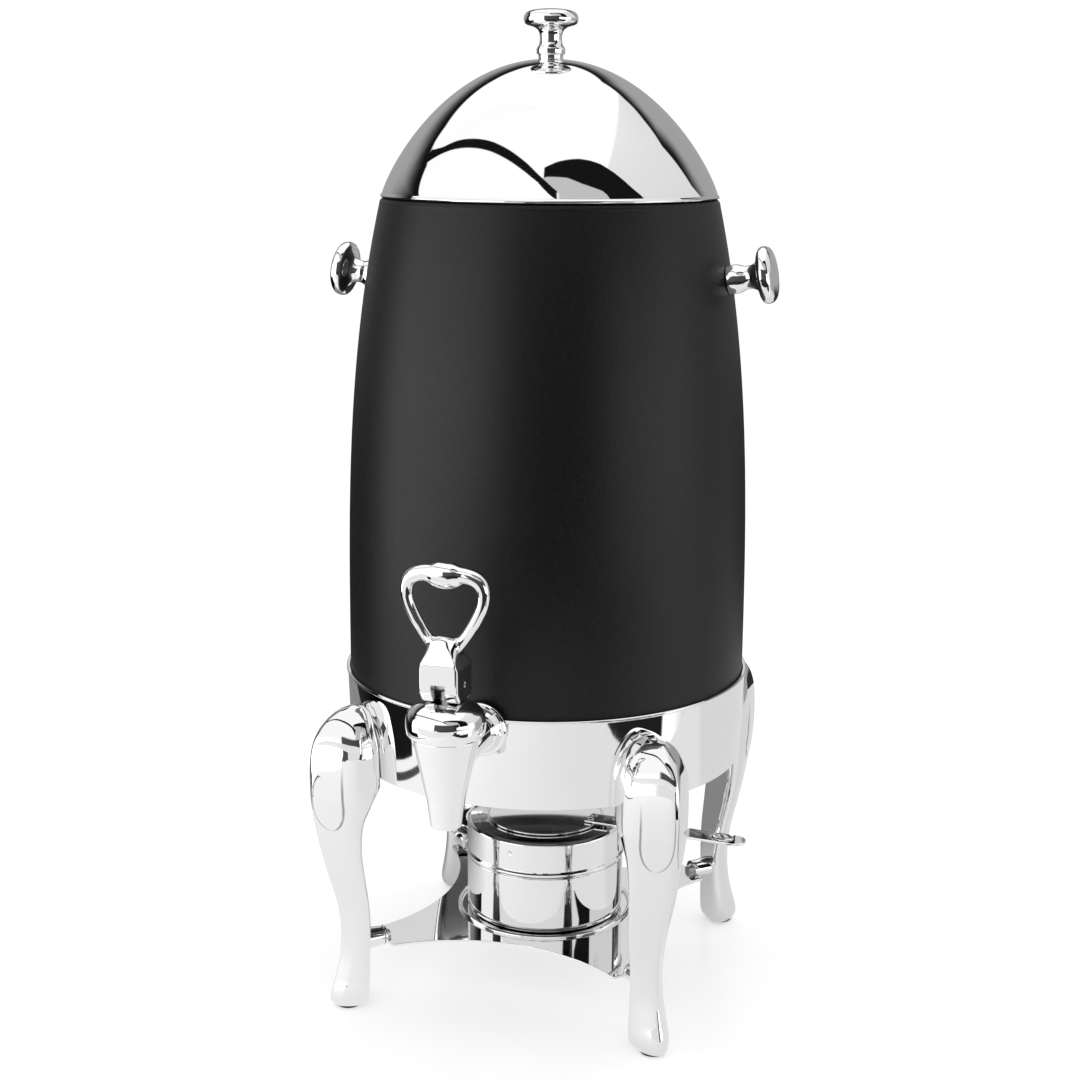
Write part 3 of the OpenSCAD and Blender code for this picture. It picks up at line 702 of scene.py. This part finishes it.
# ---------------------------------------------------------------- shelf
def build_shelf():
    pts = []
    x1, y1 = 102.5, 79.95
    for k in range(4):
        q = []
        q.append((x1, y1))
        q.append((y1, x1))
        a0, a1 = math.atan2(x1 - 205, y1), math.atan2(x1 - 205, -y1)
        arc = [(130 * math.cos(a0 + (a1 - a0) * j / 56), 205 + 130 * math.sin(a0 + (a1 - a0) * j / 56)) for j in range(1, 56)]
        c, s = math.cos(math.pi / 2 * k), math.sin(math.pi / 2 * k)
        pts += [(c * x - s * y, s * x + c * y, 2.5) for x, y in q] + [(c * x - s * y, s * x + c * y) for x, y in arc]
    ob = make("shelf_plate_finish", prism(rounded(pts, True, 6), 43.5, 45.5, 0.35), M_STEEL, 30)
    for _, a in LEGS:
        disc = lathe(rounded([(0, 0), (7, 0, 0.3), (7, 1.5, 0.4), (0, 1.5)], True, 4), 72)
        disc = moved(disc, Matrix.Rotation(math.radians(a), 4, "Z") @ Matrix.Translation((128.4, 0, 46.5)) @ Matrix.Rotation(math.pi / 2, 4, "Y"))
        join_solid(ob, make("c", disc), "UNION", 30)
    place(even(ob), "urn_body", "polished_steel", "shelf_plate")
    ring = lathe(rounded([(60.9, 45.5), (63.9, 45.5, 0.2), (63.9, 46.9, 0.9), (62.4, 48.0, 0.9), (60.9, 46.9, 0.9)], True, 6), 224)
    place(even(make("shelf_locating_ring_finish", ring, M_STEEL)), "urn_body", "polished_steel", "shelf_locating_ring")


# ---------------------------------------------------------------- faucet
def build_faucet():
    fl = rounded([(9.6, 0), (17.7, 0, 0.3), (18, 0.8, 0.6), (18, 2.6, 1.0), (17.0, 3.7, 1.0), (15.7, 4.2, 0.8), (14.8, 6.2, 1.6), (13.4, 8.8, 1.2), (12.2, 10.0, 0.8), (9.6, 10)], True, 6)
    place(even(make("faucet_flange_finish", moved(lathe(fl, 144), along_y(-143.1)), M_CAST, 30)), "urn_body", "plated_casting", "faucet_flange")

    body = rounded([(0, 184.5), (9.0, 184.5, 0.5), (9.7, 185.4, 0.7), (12.1, 203), (16.4, 222), (20.9, 240.6), (21.3, 243, 0.6), (20.7, 244, 0.5), (0, 244)], True, 6)
    dense = []
    for a, b in zip(body, body[1:] + body[:1]):
        n = max(1, int(math.hypot(b[0] - a[0], b[1] - a[1]) / 2.2))
        dense += [(a[0] + (b[0] - a[0]) * k / n, a[1] + (b[1] - a[1]) * k / n) for k in range(n)]
    ob = make("faucet_body_finish", moved(lathe(dense, 192), FAUCET), M_CAST, 30)
    boss = lathe(rounded([(0, 0), (12.4, 0, 0.4), (12.4, 42), (0, 42)], True, 4), 128)
    join_solid(ob, make("c", moved(boss, along_y(-154))), "UNION", 30)
    for c in (rod(12, 40, (0, -208, 214)), rod(7, 40, (0, -208, 180)), rod(9.55, 36.1, (0, -150, 227), "-Y"), rod(7, 56, (0, -150, 227), "-Y")):
        join_solid(ob, make("c", c), sharp=30)
    place(even(seal(ob, 30)), "urn_body", "plated_casting", "faucet_body")

    cap = rounded([(11.9, 236, 0.3), (11.9, 244.1), (22.6, 244.1, 0.4)], False, 5)[:-1]
    cap += [tuple(q) for q in spline([(22.9, 244.1), (24.0, 245.4), (24.6, 248.2), (24.7, 252.0), (24.2, 255.8), (22.6, 259.4), (19.4, 262.4), (15.0, 264.7), (11.0, 265.9), (8.6, 266.3)], 6)]
    cap += rounded([(8.6, 266.3), (3.05, 266.4, 0.5), (3.05, 256), (8, 256, 0.3), (8, 236)], False, 6)[1:]
    place(even(make("bonnet_cap_finish", moved(lathe(cap, 192), FAUCET), M_CAST, 30)), "urn_body", "plated_casting", "bonnet_cap")


LOOP = [(0, 297.5, 6.0), (6.5, 300, 4.6), (12, 305.5, 3.8), (16.6, 312, 3.6), (20.4, 318.8, 3.6), (23.4, 325.6, 3.7), (24.6, 331.4, 3.8), (24.2, 337, 4.1),
        (21.6, 341.6, 4.6), (17.6, 344, 4.9), (13, 345, 5.1), (8.6, 345.4, 5.6), (5.6, 345.4, 7.0), (2.8, 345, 7.6)]


def build_handle():
    run = LOOP + [(0, 345, 7.9)] + [(-x, z, r) for x, z, r in LOOP[:0:-1]]
    s = spline(run, 9, closed=True)
    parts = [tube([(p[0], 0, p[1]) for p in s], [p[2] for p in s], 40, closed=True, flat=1.0)]
    # two low bands wrapped round the top of the loop
    for x, tilt, r in ((-4.2, 24, 7.0), (3.6, 24, 6.9)):
        q = np.linspace(0, 2 * math.pi, 28, endpoint=False)
        ring = lathe(list(zip(r + 0.85 * np.cos(q), 2.9 * np.sin(q))), 64)
        ring = (ring[0] * np.array([1.0, 0.96, 1.0]), ring[1])
        m = Matrix.Translation((x, 0, 345.1)) @ Matrix.Rotation(math.radians(tilt), 4, "Y") @ Matrix.Rotation(math.pi / 2, 4, "Y")
        parts.append(moved(ring, m))
    # the cusp under the knot
    tip = spline([(0, 349), (6.4, 346), (6.8, 341), (4.4, 337.2), (1.6, 335.6), (0, 335.2)], 6)
    cusp = lathe([(max(0.0, p[0]), p[1]) for p in tip][:-1] + [(0.0, 335.2)], 40, closed=False)
    parts.append((cusp[0] * np.array([1.9, 0.85, 1.0]), cusp[1]))
    # the neck between block and loop
    rows = [(291, 10.4, -12.4, 10.4, 10), (295, 10.2, -11.8, 7.2, 7), (298.5, 9.9, -10.4, 5.2, 5), (301.5, 9.7, -8.2, 4.6, 4), (304, 9.0, -6.2, 4.2, 3), (306, 7.0, -4.8, 3.8, 2.6), (307.2, 4.0, -3.2, 2.8, 2.2)]
    rings = []
    for z, w, y0, y1, p in spline(rows, 6):
        q = np.arange(72) * 2 * math.pi / 72
        cx, cy = np.cos(q), np.sin(q)
        d = (np.abs(cx) ** p + np.abs(cy) ** p) ** (-1 / p)
        rings.append(np.stack([w * d * cx, (y0 + y1) / 2 + (y1 - y0) / 2 * d * cy, np.full(72, z)], 1))
    parts.append(loft(rings))
    # the block: its side outline stood across, cut by its front outline
    side = rounded([(-13.6, 274.0, 3.0), (-8.6, 266.8, 3.0), (11.4, 266.8, 1.2), (13.6, 269.2, 1.2), (13.6, 288.6, 2.0), (2.6, 299.4, 3.0), (-9.6, 299.0, 4.0), (-13.6, 292.5, 6.0)], True, 6)
    across = Matrix(((0, 0, 1, 0), (1, 0, 0, 0), (0, 1, 0, 0), (0, 0, 0, 1)))
    blk = make("faucet_handle_block", moved(prism(side, -12.4, 12.4, 1.5, 5), across), None, 60)
    front = rounded([(-12.5, 262.0), (12.5, 262.0), (12.5, 287.5, 5.0), (9.7, 297.0, 5.0), (9.2, 304.0), (-9.2, 304.0), (-9.7, 297.0, 5.0), (-12.5, 287.5, 5.0)], True, 8)
    upright = Matrix(((1, 0, 0, 0), (0, 0, 1, 0), (0, 1, 0, 0), (0, 0, 0, 1)))
    join_solid(blk, make("c", moved(prism(front, -20.0, 20.0, 0.2), upright)), "INTERSECT", 60)
    co = np.zeros(len(blk.data.vertices) * 3)
    blk.data.vertices.foreach_get("co", co)
    parts.append((co.reshape(-1, 3) / MM, [tuple(f.vertices) for f in blk.data.polygons]))
    bpy.data.objects.remove(blk)
    ob = make("faucet_handle_finish", moved(combine(*parts), FAUCET), None, 60)
    m = ob.modifiers.new("one", "REMESH")
    m.mode, m.voxel_size = "VOXEL", 0.00034
    settle(ob)
    relax(ob, lambda p: np.full(len(p), 1.0), 6)
    relax(ob, lambda p: smooth((p[:, 2] - 293.0) / 7.0) * (1 - smooth((p[:, 2] - 309.0) / 6.0)), 90)
    relax(ob, lambda p: smooth((p[:, 2] - 333.0) / 4.0) * smooth((15.0 - np.abs(p[:, 0])) / 5.0), 60)
    join_solid(ob, make("c", moved(block((-4.6, -20, 260), (4.6, 6, 279)), FAUCET)), sharp=50)
    join_solid(ob, make("c", moved(rod(6.4, 9.2, (-4.6, 0, 277), "X"), FAUCET)), sharp=50)
    join_solid(ob, make("c", moved(rod(2.0, 27, (-13.5, 0, 277), "X"), FAUCET)), sharp=50)
    seal(ob, 50)
    ob.data.materials.clear()
    ob.data.materials.append(M_CAST)
    place(ob, "tap_handle", "plated_casting", "faucet_handle")


# ---------------------------------------------------------------- fuel holder
def build_fuel():
    cup = rounded([(0, 45.8), (53, 45.8, 4), (55.8, 46.8, 3), (57, 49.8, 3), (57, 87.2, 0.6), (55.6, 88.2, 0.5), (55.6, 98, 0.2), (54.7, 98, 0.2), (54.7, 87.9, 0.4), (56, 87.2, 0.4), (56, 50, 3), (54.8, 47.6, 3), (52.8, 46.8, 3), (0, 46.8)], True, 6)
    place(even(make("fuel_cup_finish", lathe(cup, 256), M_CUP, 30)), "fuel_holder", "polished_steel", "fuel_cup")

    cov = rounded([(56, 88.7, 0.2), (57.6, 88.7, 0.3), (58.2, 89.6, 0.7), (58.2, 91, 0.7), (57.4, 92.0, 0.5), (57, 92.6, 0.4), (57, 112.6, 1.6), (55.2, 114.5, 1.6), (40, 114.5, 0.3), (40, 113.5, 0.3), (54.4, 113.5, 1.0), (56, 111.9, 1.0)], True, 6)
    ob = make("fuel_cover_finish", lathe(cov, 256), M_CUP, 30)
    c = moved(rod(2.0, 8, (50, 0, 109.5), segs=40), Matrix.Rotation(math.radians(-5), 4, "Z"))
    join_solid(ob, make("c", c), sharp=30)
    az = math.radians(-9.1)
    pit = spline([(0.0, -0.55), (1.2, -0.42), (2.0, -0.1), (2.6, 0.3)], 4)
    c = lathe([(p[0], p[1]) for p in pit] + [(2.6, 3.0), (0.0, 3.0)], 40)
    out_ = Matrix.Rotation(az, 4, "Z") @ Matrix.Translation((0, -57, 104.6)) @ Matrix.Rotation(math.pi / 2, 4, "X")
    join_solid(ob, make("c", moved(c, out_)), sharp=30)
    place(even(ob), "holder_cover", "polished_steel", "fuel_cover")

    disc = rounded([(0, 114.9), (42.2, 114.9, 0.3), (42.6, 115.4, 0.3), (42.6, 116.1, 0.4), (42.1, 116.5, 0.4), (41.3, 116.5, 0.4), (40.9, 115.9, 0.3), (0, 115.9)], True, 5)
    ob = make("damper_disc_finish", lathe(disc, 224), M_CUP, 30)
    rot = Matrix.Rotation(math.radians(-5), 4, "Z")
    join_solid(ob, make("c", moved(block((32, -8.3, 115.9), (52, 8.3, 117.9)), rot)), sharp=30)
    for y in (-4, 4):
        join_solid(ob, make("c", moved(rod(1.5, 5, (37, y, 113.5), segs=32), rot)), sharp=30)
    place(even(ob), "damper", "polished_steel", "damper_disc")

    end = [(144 + 8 * math.cos(q), 8 * math.sin(q)) for q in np.linspace(-math.pi / 2, math.pi / 2, 28)]
    outline = rounded([(34, 8, 0.8), (34, -8, 0.8)], True, 5)
    outline = [(34.0, 8.0), (34.0, -8.0)] + end
    ob = make("damper_handle_finish", moved(prism(outline, 116.1, 118.1, 0.35), rot), M_CUP, 30)
    for x, y, r in ((50, 0, 2.05), (37, -4, 1.5), (37, 4, 1.5)):
        join_solid(ob, make("c", moved(rod(r, 8, (x, y, 113.5), segs=40), rot)), sharp=30)
    pad = lathe([(0, 0)] + rounded([(7.0, 0.0), (7.0, 0.7, 0.5), (6.0, 1.2, 0.6), (4.8, 0.9, 0.6), (0, 0.8)], False, 5), 72)
    pad = (pad[0] * np.array([1.15, 0.86, 1.0]), pad[1])
    join_solid(ob, make("c", moved(pad, rot @ Matrix.Translation((135.2, 0, 118.0)))), "UNION", 30)
    place(even(ob), "damper", "polished_steel", "damper_handle")

    riv = [moved(lathe(rounded([(0, 115.0), (1.5, 115.0), (1.5, 118.15), (2.5, 118.15, 0.2), (2.3, 118.9, 0.6), (0, 119.05)], True, 4), 40), rot @ Matrix.Translation((37, y, 0))) for y in (-4, 4)]
    place(even(make("damper_rivets_finish", combine(*riv), M_CUP, 30)), "damper", "plain_steel", "damper_rivets")


build_shell()
build_tank()
build_band()
build_knobs()
build_dome()
build_legs()
build_shelf()
build_faucet()
build_handle()
build_fuel()

# the pieces that stay as the construction made them
KEPT = {
    "plain_steel": (M_PLAIN, ("support_ring", "leg_screws", "shelf_screws", "side_knob_studs", "side_knob_washers", "faucet_shank", "shank_nut",
                              "lid_knob_screw", "lid_knob_washer", "damper_pivot", "handle_pin", "valve_stem")),
    "silicone": (M_SILICONE, ("tank_rim_gasket", "shank_spacer", "shank_seal_washer", "seat_cup")),
}
for slot_name, (mat, names) in KEPT.items():
    for n in names:
        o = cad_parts[n]
        o.data.materials.clear()
        o.data.materials.append(mat)
        shade(o.data, 30)

# the valve's spring: a copy of the construction's spring with its own mesh, hung on the valve. In the real valve its
# foot rises with the stem and its top stays under the bonnet, so it shortens.
low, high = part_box("stem_spring")
spring = bpy.data.objects.new("stem_spring_finish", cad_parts["stem_spring"].data.copy())
scene.collection.objects.link(spring)
spring.data.materials.clear()
spring.data.materials.append(M_PLAIN)
shade(spring.data, 30)
place(spring, "valve", "plain_steel", "stem_spring")
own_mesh(spring)


# ---------------------------------------------------------------- stage, light, camera
AZ = math.radians(17.1)
U, V = Vector((math.cos(AZ), math.sin(AZ), 0)), Vector((math.sin(AZ), -math.cos(AZ), 0))


def floor_material(name, base, glow, rough, gloss):
    m, nt, b = new_material(name)
    n = noise(nt, 260.0, 3.0, 0.5)
    nt.links.new(ramp(nt, n, (base * 0.995,) * 3, (base,) * 3), b.inputs["Base Color"])
    nt.links.new(ranged(nt, n, rough, rough + 0.03), b.inputs["Roughness"])
    b.inputs["Emission Color"].default_value = (1, 1, 1, 1)
    b.inputs["Emission Strength"].default_value = glow
    b.inputs["Specular IOR Level"].default_value = gloss
    return m


def uv(u, v, w=0.0):
    p = U * u + V * v
    return (p.x / MM, p.y / MM, w / MM)


def sheet(name, pts, mat, faces=None):
    return make(name, (np.array(pts), faces or [tuple(range(len(pts)))]), mat, outward=False)


SEEN = floor_material("pale_floor", 0.62, 0.43, 0.2, 0.16)
MIRRORED = floor_material("pale_floor_in_gloss", 0.16, 0.40, 0.5, 0.1)
STRIP = floor_material("floor_edge_strip", 0.02, 0.0, 0.5, 0.1)
PANEL = floor_material("low_panel", 0.1, 0.62, 0.5, 0.1)
def gradient(mat, along, lo, hi, a, b):
    """A value running from lo to hi over a..b metres along a direction on the floor."""
    n = mat.node_tree.nodes.new("ShaderNodeVectorMath")
    n.operation = "DOT_PRODUCT"
    n.inputs[1].default_value = along
    mat.node_tree.links.new(mat.node_tree.nodes.new("ShaderNodeTexCoord").outputs["Object"], n.inputs[0])
    return ranged(mat.node_tree, n.outputs["Value"], lo, hi, a, b)


# brighter to the left, dim behind the urn's left side
level = node(MIRRORED.node_tree, "ShaderNodeMath", operation="MULTIPLY")
MIRRORED.node_tree.links.new(gradient(MIRRORED, U, 0.84, 0.67, -0.4, 0.12), level.inputs[0])
dim = node(MIRRORED.node_tree, "ShaderNodeMath", operation="MAXIMUM")
MIRRORED.node_tree.links.new(gradient(MIRRORED, V, 0.1, 1.0, -0.22, 0.02), dim.inputs[0])
MIRRORED.node_tree.links.new(gradient(MIRRORED, U, 0.0, 0.86, 0.02, 0.16), dim.inputs[1])
MIRRORED.node_tree.links.new(dim.outputs[0], level.inputs[1])
MIRRORED.node_tree.links.new(level.outputs[0], MIRRORED.node_tree.nodes["Principled BSDF"].inputs["Emission Strength"])
LEDGE = floor_material("front_ledge", 0.3, 0.54, 0.5, 0.1)
LEDGE_TOP = floor_material("front_ledge_top", 0.012, 0.0, 0.5, 0.1)
floor = sheet("floor", [uv(-6, 6), uv(6, 6), uv(6, -6), uv(-6, -6)], SEEN)
floor.visible_glossy = False
low = -0.0004
table = sheet("table", [uv(-0.567, 1.15, low), uv(0.26, 1.15, low), uv(0.375, 0.555, low), uv(0.52, 0.3, low), uv(0.75, 0.1, low), uv(0.9, -0.75, low), uv(-0.567, -0.75, low)], MIRRORED)
strip = sheet("table_strip", [uv(-0.537, 0.5, low / 2), uv(-0.516, 0.5, low / 2), uv(-0.516, -0.4, low / 2), uv(-0.537, -0.4, low / 2)], STRIP)
panel = sheet("low_panel", [uv(-0.6, -0.72, 0.56), uv(0.6, -0.72, 0.56), uv(0.6, -1.7, 0.56), uv(-0.6, -1.7, 0.56)], PANEL)
ledge = sheet("front_ledge", [uv(-0.5, 0.2, 0.236), uv(-0.12, 0.23, 0.236), uv(0.0, 0.315, 0.236), uv(0.37, 0.315, 0.236), uv(0.37, 1.14, 0.236), uv(-0.5, 1.14, 0.236),
    uv(-0.5, 1.14, 0.001), uv(0.37, 1.14, 0.001)], LEDGE, [(0, 1, 2, 3, 4, 5), (5, 4, 7, 6)])
ledge_top = sheet("front_ledge_top", [uv(-0.5, 0.62, 0.238), uv(-0.17, 0.46, 0.238), uv(-0.1, 0.345, 0.238), uv(0.37, 0.345, 0.238), uv(0.37, 1.15, 0.238), uv(-0.5, 1.15, 0.238)], LEDGE_TOP)
for ob in (table, strip, panel, ledge, ledge_top):
    ob.visible_camera = ob.visible_diffuse = ob.visible_shadow = ob.visible_transmission = False


def studio():
    """Soft white light all round for matt surfaces, and for gloss the panels, gaps and dark cards of a small photo studio."""
    w = bpy.data.worlds.new("studio")
    scene.world = w
    w.use_nodes = True
    nt = w.node_tree
    nt.nodes.clear()

    def m(op, a, b=None, c=None):
        n = nt.nodes.new("ShaderNodeMath")
        n.operation = op
        for i, v in enumerate((a, b, c)):
            if v is None:
                continue
            if isinstance(v, (int, float)):
                n.inputs[i].default_value = v
            else:
                nt.links.new(v, n.inputs[i])
        return n.outputs[0]

    def above(x, edge, soft):
        """0 below the edge, 1 above it."""
        if isinstance(edge, (int, float)) and isinstance(x, (int, float)):
            return 1.0 if x > edge else 0.0
        n = nt.nodes.new("ShaderNodeMapRange")
        n.interpolation_type = "SMOOTHSTEP"
        nt.links.new(m("SUBTRACT", x, edge), n.inputs["Value"])
        n.inputs["From Min"].default_value = -soft
        n.inputs["From Max"].default_value = soft
        return n.outputs["Result"]

    def below(x, edge, soft):
        return m("SUBTRACT", 1.0, above(x, edge, soft))

    def both(*xs):
        r = xs[0]
        for x in xs[1:]:
            r = m("MULTIPLY", r, x)
        return r

    def line(x, pts):
        """A piecewise straight line through pts, level beyond its ends."""
        r = float(pts[0][1])
        for (x0, y0), (x1, y1) in zip(pts[:-1], pts[1:]):
            n = nt.nodes.new("ShaderNodeMapRange")
            nt.links.new(x, n.inputs["Value"])
            n.inputs["From Min"].default_value = x0
            n.inputs["From Max"].default_value = x1
            n.inputs["To Min"].default_value = 0.0
            n.inputs["To Max"].default_value = y1 - y0
            r = m("ADD", r, n.outputs["Result"])
        return r

    def put(base, value, mask):
        return m("MULTIPLY_ADD", m("SUBTRACT", value, base), mask, base)

    tc = nt.nodes.new("ShaderNodeTexCoord")
    sep = nt.nodes.new("ShaderNodeSeparateXYZ")
    nt.links.new(tc.outputs["Generated"], sep.inputs[0])
    x, y, z = sep.outputs
    deg = 180 / math.pi
    az = m("MULTIPLY", m("ARCTAN2", x, m("MULTIPLY", y, -1.0)), deg)
    el = m("MULTIPLY", m("ARCSINE", z), deg)

    def card(az0):
        """Coordinates on an upright card facing azimuth az0: across, up, and whether it is in front."""
        s0, c0 = math.sin(math.radians(az0)), math.cos(math.radians(az0))
        c = m("ADD", m("MULTIPLY", x, s0), m("MULTIPLY", y, -c0))
        s = m("ADD", m("MULTIPLY", x, c0), m("MULTIPLY", y, s0))
        cc = m("MAXIMUM", c, 0.001)
        return m("DIVIDE", s, cc), m("DIVIDE", z, cc), above(c, 0.02, 0.01)

    E = m("ADD", 1.12, 0.0)
    # left: white panel, brightest low down
    E = put(E, line(el, [(-30, 1.75), (-18, 2.3), (8, 2.3), (20, 1.12)]), both(above(az, -107, 1.0), below(az, -13, 1.0)))
    E = put(E, 1.1, both(above(az, -107, 0.5), below(az, -88, 8.0)))
    # right: pale wall, its upper edge straight against the white ceiling
    side = m("ADD", m("ADD", x, m("MULTIPLY", y, 0.384)), m("MULTIPLY", z, -0.66))
    E = put(E, line(el, [(-30, 1.3), (-8, 1.2), (-2, 0.74), (20, 0.78), (45, 0.84), (62, 0.93)]), both(above(az, 30, 1.0), above(side, 0.0, 0.012)))
    # front: dark room between the two panels, low down
    E = put(E, line(az, [(-13, 0.09), (40, 0.06), (50, 0.02)]), both(above(az, -13, 1.2), below(az, 60, 1.0), below(el, 27, 2.0)))
    E = put(E, 1.9, both(above(az, 52, 3.0), below(az, 106, 8.0), below(el, 12, 3.0), above(el, -13, 1.0)))
    E = put(E, 0.78, both(above(az, 98, 6.0), below(el, -8, 3.0)))
    E = put(E, 0.4, both(above(az, 110, 8.0), below(az, 150, 1.0), below(el, 8, 4.0), above(el, -16, 1.0)))
    E = put(E, 0.015, both(above(az, 58, 1.0), below(az, 87, 0.8), below(el, -16, 2.0)))
    # right: dark card, and the grey room under it
    s, t, front = card(38)
    top = line(s, [(-0.505, 1.86), (-0.233, 1.93), (0.0, 1.93), (0.233, 1.91), (0.45, 1.835), (0.642, 1.735), (0.848, 1.50), (0.97, 1.31), (1.043, 1.16), (1.159, 0.955), (1.25, 0.58)])
    low = line(s, [(-0.445, 1.48), (-0.087, 1.31), (0.123, 1.107), (0.384, 0.918), (0.424, 0.80), (0.45, 0.25)])
    tail = line(t, [(0.93, -0.255), (1.03, -0.297), (1.327, -0.443), (1.606, -0.596)])
    E = put(E, 0.58, both(front, above(s, tail, 0.02), below(s, 0.44, 0.02), above(el, 27, 1.5), below(t, low, 0.02)))
    E = put(E, 0.008, both(front, above(s, -0.505, 0.012), below(s, 1.18, 0.015), below(t, top, 0.018), above(t, low, 0.018)))
    E = put(E, 0.008, both(front, above(s, m("SUBTRACT", tail, 0.12), 0.012), below(s, tail, 0.012), below(t, 1.62, 0.03), above(t, 0.93, 0.02)))
    # left: dark edge above the white panel, and dark below it
    s, t, front = card(-38)
    over = line(s, [(-3.48, 2.10), (-2.4, 1.78), (-1.95, 1.70), (-1.79, 1.70), (-1.43, 1.79), (-0.89, 1.86), (-0.42, 1.925), (0.14, 1.975), (0.6, 2.0), (1.0, 1.97), (1.29, 1.97), (1.7, 1.93)])
    under = line(s, [(-2.6, 1.28), (-1.95, 1.39), (-1.29, 1.50), (-0.75, 1.565), (-0.27, 1.63), (0.22, 1.665), (0.6, 1.675), (0.98, 1.66), (1.30, 1.51), (1.6, 1.33)])
    E = put(E, 0.008, both(front, above(az, -107.5, 0.8), below(az, 22.5, 0.8), above(t, under, 0.018), below(t, over, 0.018)))
    E = put(E, 0.01, both(above(az, -98, 1.0), below(az, -66, 1.0), below(el, -18, 0.7)))
    # behind: grey room, black along its edges and fading to grey inwards
    turn = m("MULTIPLY_ADD", below(az, 0.0, 0.01), 360.0, az)
    left = line(el, [(-9, -89), (12, -89), (19, -85), (33, -102)])
    right = line(el, [(6, 149.5), (15, 143), (21, 140)])
    roof = line(turn, [(140, 36), (149.5, 41), (161, 43.5), (174.5, 43.5), (186, 36), (191, 33), (203, 34.5), (209, 36.5), (217, 37.8), (226, 37.2), (235, 36.5), (243, 35.8), (248, 33.5), (253, 32.5), (257, 31.5)])
    from_left = m("MULTIPLY", m("SUBTRACT", m("ADD", left, 360.0), turn), 0.45)
    from_right = m("ADD", m("SUBTRACT", turn, right), line(el, [(-2, 30.0), (6, 12.0), (15, 7.0), (22, 3.5), (30, 0.0)]))
    from_roof = m("MULTIPLY", m("SUBTRACT", roof, el), line(turn, [(161, 1.8), (200, 1.0)]))
    inside = m("MINIMUM", m("MINIMUM", from_left, from_right), from_roof)
    grey = line(inside, [(3.2, 0.008), (6.0, 0.045), (9.0, 0.14), (12.5, 0.28), (17.0, 0.38)])
    grey = m("MULTIPLY", grey, line(el, [(-6, 0.08), (-2.5, 1.0)]))
    E = put(E, grey, both(above(turn, right, 0.6), below(turn, m("ADD", left, 360.0), 0.8), below(el, roof, 0.8)))

    lp = nt.nodes.new("ShaderNodeLightPath")
    out = m("MULTIPLY_ADD", m("SUBTRACT", 1.2, E), lp.outputs["Is Diffuse Ray"], E)
    out = m("MULTIPLY_ADD", m("SUBTRACT", 1.06, out), lp.outputs["Is Camera Ray"], out)
    bg = nt.nodes.new("ShaderNodeBackground")
    bg.inputs["Color"].default_value = (1, 1, 1, 1)
    nt.links.new(out, bg.inputs["Strength"])
    o = nt.nodes.new("ShaderNodeOutputWorld")
    nt.links.new(bg.outputs[0], o.inputs["Surface"])
    w.cycles.sampling_method = "NONE"


studio()
scene.view_settings.view_transform = "Standard"
scene.view_settings.look = "None"

cam_data = bpy.data.cameras.new("camera")
cam = bpy.data.objects.new("camera", cam_data)
scene.collection.objects.link(cam)
cam_data.lens, cam_data.sensor_width, cam_data.sensor_fit = 60, 36, "AUTO"
cam_data.clip_start, cam_data.clip_end = 0.05, 30
cam.matrix_world = (Matrix.Translation((math.sin(AZ) * 1.245, -math.cos(AZ) * 1.245, 0.604)) @ Matrix.Rotation(AZ + math.radians(0.237), 4, "Z")
                    @ Matrix.Rotation(math.radians(90 - 12.8), 4, "X") @ Matrix.Rotation(math.radians(0.37), 4, "Z"))
scene.camera = cam
